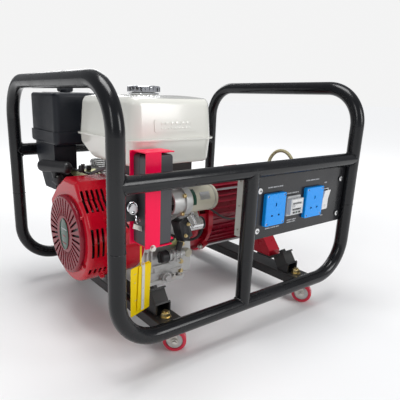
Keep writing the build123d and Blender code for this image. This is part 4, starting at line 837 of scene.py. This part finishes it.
# ---- engine
def arc_label(name, radius, x0, x1, start, stop, centre_y, centre_z, material, thick=0.0003):
    """Curved sticker on a barrel that lies along X, from one angle to another."""
    clear_selection()
    bpy.ops.mesh.primitive_cylinder_add(vertices=96, radius=radius, depth=(x1 - x0) * MM, end_fill_type="NOTHING",
                                        rotation=(0, math.pi / 2, 0))
    piece = bpy.context.object
    bpy.ops.object.transform_apply(location=False, rotation=True, scale=False)
    bpy.ops.object.mode_set(mode="EDIT")
    pick_faces(piece, lambda c, n: not start <= math.degrees(math.atan2(c.z, -c.y)) <= stop)
    bpy.ops.mesh.delete(type="FACE")
    bpy.ops.object.mode_set(mode="OBJECT")
    wall = piece.modifiers.new("wall", "SOLIDIFY")
    wall.thickness = thick
    wall.offset = 1
    bpy.ops.object.modifier_apply(modifier="wall")
    settle(piece, name, material)
    return fit(piece, Matrix.Translation(at((x0 + x1) / 2, centre_y, centre_z)))


def wire(name, points, diameter, material):
    """Cable or hose that leaves one place of the engine and goes into another."""
    points = [at(*p) for p in points]
    made = cord_curve(name, points, diameter, material)
    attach(made, "frame")
    round(length_of(made), 4)
    return made


def make_starter_details():
    y, z = -142, CRANK_Z + 78
    arc_label("starter_mark", 0.02915, -92, -83, -8, 62, y, z, label_green)
    arc_label("starter_plate", 0.02912, -72, -44, 10, 40, y, z, bright_alloy)
    arc_label("starter_band", 0.02935, -97, -94.5, -178, 178, y, z, bright_alloy, thick=0.0012)
    arc_label("starter_end_band", 0.02925, -30, -27.5, -178, 178, y, z, zinc, thick=0.0009)
    fit_all(hex_bolt("starter_bolt", 0.007, 0.0035, zinc), [put(-18, y + 19 * c, z + 19 * s, X) for c,
        s in ((0.7, 0.7), (-0.7, -0.7))])
    fit_all(hex_bolt("flange_bolt", 0.0075, 0.0045, gold_zinc),
        [put(-112, y - 30.5 * math.cos(a), z + 30.5 * math.sin(a), -X) for a in (0.6, 2.3, -0.9)])
    boot = turned("terminal_boot", 0.0062, 0.011, black_rubber, sides=24, edge=0.0008, top=0.0045)
    coil_z = z - 63
    fit_all(boot, [put(-38, y + 22, coil_z + 4, X), put(-38, y + 10, coil_z - 4, X)])
    fit(slab("starter_relay", (0.030, 0.050, 0.026), black_plastic, edge=0.003,
        steps=((0.0035, 0), (0.0005, 0.0025), (0.006, 0), (0.0005, -0.0015))), put(-97, y + 3, z - 66,
        (0.15, -1, 0.1), spin=0.3))
    fit(slab("relay_bridge", (0.014, 0.030, 0.003), bright_alloy, edge=0.0008,
        steps=((0.002, 0), (0.0004, -0.0006))), put(-82, y - 12, z - 47, (0.1, -1, 0.15), spin=0.5))
    fit_all(hex_bolt("relay_stud", 0.006, 0.004, gold_zinc), [put(-93, y - 14, z - 52, -Y),
        put(-99, y - 14, z - 78, -Y)])
    fit_all(turned("relay_plug", 0.0075, 0.020, black_rubber, sides=28, edge=0.001,
        steps=((0.002, 0.001), (0.001, 0)), top=0.006), [put(-104, y - 2, z - 96, (-0.5, -0.3, -0.8)),
        put(-124, y + 4, z - 84, (-0.8, -0.5, -0.1))])
    # black recessed disc at the starter's open end: painted shade inside its mouth
    fit(turned("starter_mouth", 0.0238, 0.004, ink_black, sides=40, edge=0.0004,
        steps=((0.0015, 0), (0.0006, -0.001))), put(-116.5, y, z, -X))
    fit(turned("solenoid_cap", 0.0158, 0.006, black_plastic, sides=40, edge=0.001, steps=((0.004, 0.001),)),
        put(-41, y + 8, coil_z, X))
    fit(slab("solenoid_stay", (0.012, 0.034, 0.0022), bright_alloy, steps=((0.0025, 0.0004),)),
        put(-66, y - 10, coil_z + 24, (0, -0.85, 0.5)))


def make_engine_details():
    # gold-zinc governor plate, oil sensor and small castings on the front of the crankcase
    fit(turned("governor_plate", 0.0135, 0.003, olive_plate, sides=40,
        steps=((0.004, 0), (0.0006, -0.0012), (0.003, 0), (0.0006, 0.0016))), put(-92, -98, 186, -Y))
    fit(turned("oil_sensor", 0.0105, 0.012, starter_beige, sides=36, edge=0.0012,
        steps=((0.003, 0.001), (0.003, -0.001))), put(-44, -90, 147, -Y))
    fit_all(turned("casting_boss", 0.011, 0.014, cast_alloy, edge=0.0014,
        steps=((0.0035, 0), (0.0005, 0.002))), [put(-70, -92, 178, -Y), put(-66, -93, 204, -Y),
        put(-96, -92, 140, -Y)])
    bolt = hex_bolt("case_bolt", 0.009, 0.0045, gold_zinc)
    spots = [(-70, -106.5, 178), (-66, -107.5, 204), (-170, -96, 140), (-170, -96, 104), (-64, -96, 104),
             (-64, -96, 128)]
    fit_all(bolt, [put(*s, -Y) for s in spots])
    fit(hex_bolt("drain_plug", 0.0115, 0.006, zinc), put(-92, -102, 97, -Y))
    fit_all(hex_bolt("foot_bolt", 0.012, 0.006, zinc),
        [put(x, y, 95, Z) for x in (-166, -70) for y in (-98, 90)])
    # cast ribs and a raised pad, so that the front reads as a casting
    fit(slab("casting_pad", (0.050, 0.022, 0.003), cast_alloy, edge=0.0008, steps=((0.003, 0.0006),)),
        put(-118, -97, 122, -Y))
    fit_all(slab("casting_rib", (0.004, 0.040, 0.008), cast_alloy, edge=0.0014),
        [put(x, -98, 150, -Y) for x in (-164, -152, -80)])
    # silver collar rings of the oil filler neck
    fit_all(hoop("filler_ring", 0.0126, 0.0016, bright_alloy, tube=8),
        [put(x, -114, 159, X) for x in (-117, -98, -86)])
    fit(hoop("filler_seal", 0.0132, 0.0014, black_rubber, tube=8), put(-120.5, -114, 159, X))
    # tie rods that hold the alternator between its ends
    tie_r, turns = 101.5, (45, 135, 225, 315)
    fit_all(turned("tie_rod", 0.003, 0.192, steel, sides=16, edge=0),
        [placed(round_crank(12, tie_r, a), X) for a in turns])
    for name, x, aim in (("tie_nut", 16, -X), ("tie_nut_far", 199, X)):
        fit_all(hex_bolt(name, 0.010, 0.006, zinc), [placed(round_crank(x, tie_r, a), aim) for a in turns])
    # air-cooling grille on the alternator's far end
    end_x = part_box("alternator_end_bell")[1].x / MM
    slats = []
    for dz in range(-54, 55, 12):
        wide = 2 * math.sqrt(max(66**2 - dz**2, 0))
        slats.append(laid(slab("end_slat", (wide * MM, 0.005, 0.002), black_plastic),
                          put(end_x + 0.6, CRANK_Y, CRANK_Z + dz, X)))
    fit_joined("end_grille", slats)
    fit(hoop("end_ring", 0.070, 0.0028, bell_red, around=72), put(end_x, CRANK_Y, CRANK_Z, X))
    # valve cover screws, and the plug cap on the cylinder head
    tilt = math.radians(65)
    lean = Vector((0, math.sin(tilt), math.cos(tilt)))
    side = Vector((0, math.cos(tilt), -math.sin(tilt)))
    top = at(-118, CRANK_Y, CRANK_Z) + lean * 0.232
    fit_all(hex_bolt("valve_bolt", 0.010, 0.005, zinc), [placed(top + X * dx * MM + side * ds * MM, lean) for dx,
        ds in ((-32, -28), (32, -28), (-32, 28), (32, 28))])
    fit(turned("plug_cap", 0.011, 0.030, black_rubber, edge=0.002, top=0.0085),
        placed(at(-90, CRANK_Y, CRANK_Z) + lean * 0.186 + side * -0.054, -side + lean * 0.3))


def make_carburettor_details():
    y, z, mid = 140, CRANK_Z + 98, -206.5
    fit(hex_bolt("bowl_bolt", 0.010, 0.005, brass), put(mid, y, z - 46, -Z))
    fit(hoop("bowl_ring", 0.0192, 0.0014, bright_alloy, tube=8), put(mid, y, z - 14, Z))
    # control plate in front of the carburettor with the throttle lever, its knob and the link rod
    fit(slab("control_plate", (0.070, 0.038, 0.002), olive_plate, edge=0.0005, steps=((0.004, 0.0004),)),
        put(-222, 92, z + 16, (0, -0.25, 1)))
    fit(slab("throttle_lever", (0.008, 0.052, 0.003), black_plastic, edge=0.001, steps=((0.0015, 0.0006),)),
        put(-242, 70, z + 24, (0.1, -0.3, 1), spin=0.5))
    fit(turned("throttle_knob", 0.0075, 0.016, black_plastic, sides=28, edge=0.002, top=0.006),
        put(-251, 52, z + 26, Z))
    fit(turned("governor_link", 0.0011, 0.085, zinc, sides=10, edge=0), put(-190, 45, z + 12,
        (-0.15, 1, 0.1)))


def make_tank_details():
    # bright ring under the cap, and its raised centre
    cap_low, cap_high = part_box("fuel_cap")
    centre = (cap_low + cap_high) / 2
    fit(turned("cap_disc", 0.026, 0.0011, chrome, sides=64, edge=0.0004, steps=((0.004, 0), (0.001, -0.0006))),
        placed(Vector((centre.x, centre.y, cap_high.z - 0.0004)), Z), "tank_cap")
    fit(hoop("cap_seat", 0.0335, 0.0022, chrome, around=64), put(-113, 0, CRANK_Z + 303.5, Z))
    # raised generic strokes on the badge panel
    lean = math.radians(5)
    face = Vector((0, -math.cos(lean), math.sin(lean)))
    up = Vector((0, math.sin(lean), math.cos(lean)))
    panel = at(-150, -180 + 27 * math.tan(lean) + 0.3, CRANK_Z + 217 + 27) + face * 0.0016
    strokes = []
    for dz, tall, widths in ((4.5, 5.5, (8, 12, 7, 14, 9, 11)), (-5, 3.2, (5, 7, 5, 6, 8, 5, 7, 6, 5))):
        x = -(sum(widths) + 2.4 * (len(widths) - 1)) / 2
        for wide in widths:
            strokes.append(laid(slab("badge_stroke", (wide * MM, tall * MM, 0.0007), tank_ivory, edge=0.0002),
                                placed(panel + X * (x + wide / 2) * MM + up * dz * MM, face)))
            x += wide + 2.4
    fit_joined("badge_strokes", strokes)


def make_battery_details():
    x0, x1, z0, z1 = -254, -193, CRANK_Z + 23, CRANK_Z + 197
    fit(slab("battery_lid_seam", (0.0615, 0.0012, 0.041), ink_black, edge=0.0002),
        put((x0 + x1) / 2, -209.5, z1 - 18, Z))
    fit_all(turned("battery_post", 0.0042, 0.006, zinc, sides=20, steps=((0.0012, 0.0006),)),
        [put(-200, y, z1 - 3.5, Z) for y in (-206, -218)])
    fit(hex_bolt("strap_nut", 0.009, 0.0045, zinc), put(-238.5, -232.4, z0 - 2, -Y))


def make_key_details():
    x, z = -271, CRANK_Z + 101
    face_y = -189 - 18
    fit(hoop("key_bezel", 0.0098, 0.0014, chrome, around=48, tube=8), put(x, face_y - 5, z, -Y))
    fit(hoop("key_ring", 0.0085, 0.0008, chrome, tube=8), put(x + 3, face_y - 11.2, z - 17,
        (0.9, -0.35, 0.2)), "key")
    fit(hoop("key_ring_small", 0.006, 0.0007, chrome, around=36, tube=8), put(x + 7, face_y - 13, z - 24,
        (0.3, -0.9, 0.3)), "key")
    fit(slab("key_label", (0.026, 0.009, 0.0012), paper_white, edge=0.0003, steps=((0.0012, 0.0002),)),
        put(x + 9, face_y - 11.5, z - 39, (0.2, -0.95, 0.2), spin=-0.45), "key")


def make_tag_details():
    turn = math.radians(20)
    along = Vector((math.cos(turn), math.sin(turn), 0))
    out = Vector((math.sin(turn), -math.cos(turn), 0))
    base = at(-250, -208, 0)

    def on_tag(dx, z, proud):
        return base + along * dx * MM + Z * z * MM + out * proud * MM

    def flat(name, wide, tall, dx, z, proud, material, spin=0.0, thick=0.4):
        piece = slab(name, (wide * MM, tall * MM, thick * MM), material, edge=0.00008)
        frame_turn = Matrix((along, Z, out)).transposed().to_4x4()
        place = Matrix.Translation(on_tag(dx, z, proud)) @ frame_turn @ Matrix.Rotation(spin, 4, "Z")
        return laid(piece, place)

    second = flat("tag_second_leaf", 40, 92, 9, 150, 2.2, tag_yellow, spin=-0.07)
    fit(second, HERE, "tag")
    strip = flat("tag_strip", 9, 96, 4, 150, 3.4, paper_white, spin=-0.03)
    loop = hoop("tag_strip_loop", 0.0042, 0.0009, paper_white, around=32, tube=8)
    fit_joined("tag_strip", (strip, laid(loop, placed(on_tag(3, 199, 3.4), out))), "tag")
    marks = [flat("tag_mark", wide, 0.9, dx, z, 0.25, ink_grey, thick=0.15)
             for dx, z, wide in ((-17, 184, 9), (-18, 166, 5), (-15, 128, 8))]
    marks += [flat("strip_mark", 5, 0.8, 4, z, 3.75, ink_grey, thick=0.15) for z in (176, 148, 122)]
    fit_joined("tag_marks", marks, "tag")


def make_muffler_details():
    low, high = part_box("muffler")
    guard_bolt = hex_bolt("guard_bolt", 0.009, 0.0045, zinc)
    spots = [(low.x + 0.05, 0.290), (high.x - 0.012, 0.290), (high.x - 0.012, 0.368)]
    fit_all(guard_bolt, [placed(Vector((x, high.y - 0.016, z)), Y) for x, z in spots])


def make_air_cleaner_details():
    low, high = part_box("air_cleaner_cover")
    centre = (low + high) / 2
    # ribs pressed into the cover's flat top
    fit_all(slab("cover_rib", (0.074, 0.005, 0.0016), air_black),
        [placed(Vector((centre.x, centre.y + dy * MM, high.z + 0.0003)), Z) for dy in (-56, -46, 46, 56)],
        "air_cover")


make_caster_hubs()
make_welds()
make_panel_details()
make_recoil_details()
make_starter_details()
make_engine_details()
make_carburettor_details()
make_tank_details()
make_battery_details()
make_key_details()
make_tag_details()
make_muffler_details()
make_air_cleaner_details()
wire("starter_cable", [(-36, -119, 238), (-30, -121, 238), (-22, -124, 226), (-30, -126, 196), (-60, -124, 188),
    (-100, -120, 204), (-135, -124, 222), (-168, -140, 240), (-184, -160, 262), (-188, -184, 276)],
    0.0065, black_rubber)
wire("stator_cable", [(-26, -108, 262), (-14, -112, 262), (6, -116, 256), (30, -114, 240), (60, -112, 222),
    (96, -114, 216), (128, -120, 232), (150, -132, 254), (160, -160, 268), (162, -200, 276), (162, -218, 278)],
    0.005, black_rubber)
wire("fuel_hose", [(-196, -20, 392), (-196, -18, 382), (-200, 0, 360), (-216, 24, 348), (-222, 60, 334),
    (-214, 96, 322), (-210, 118, 314), (-208, 124, 312)], 0.0085, hose_grey)
wire("key_lead", [(-271, -190, 290), (-271, -184, 288), (-262, -176, 270), (-232, -168, 252), (-196, -158, 244),
    (-170, -140, 236), (-150, -122, 216), (-140, -112, 200), (-136, -100, 194)],
    0.0045, black_rubber)
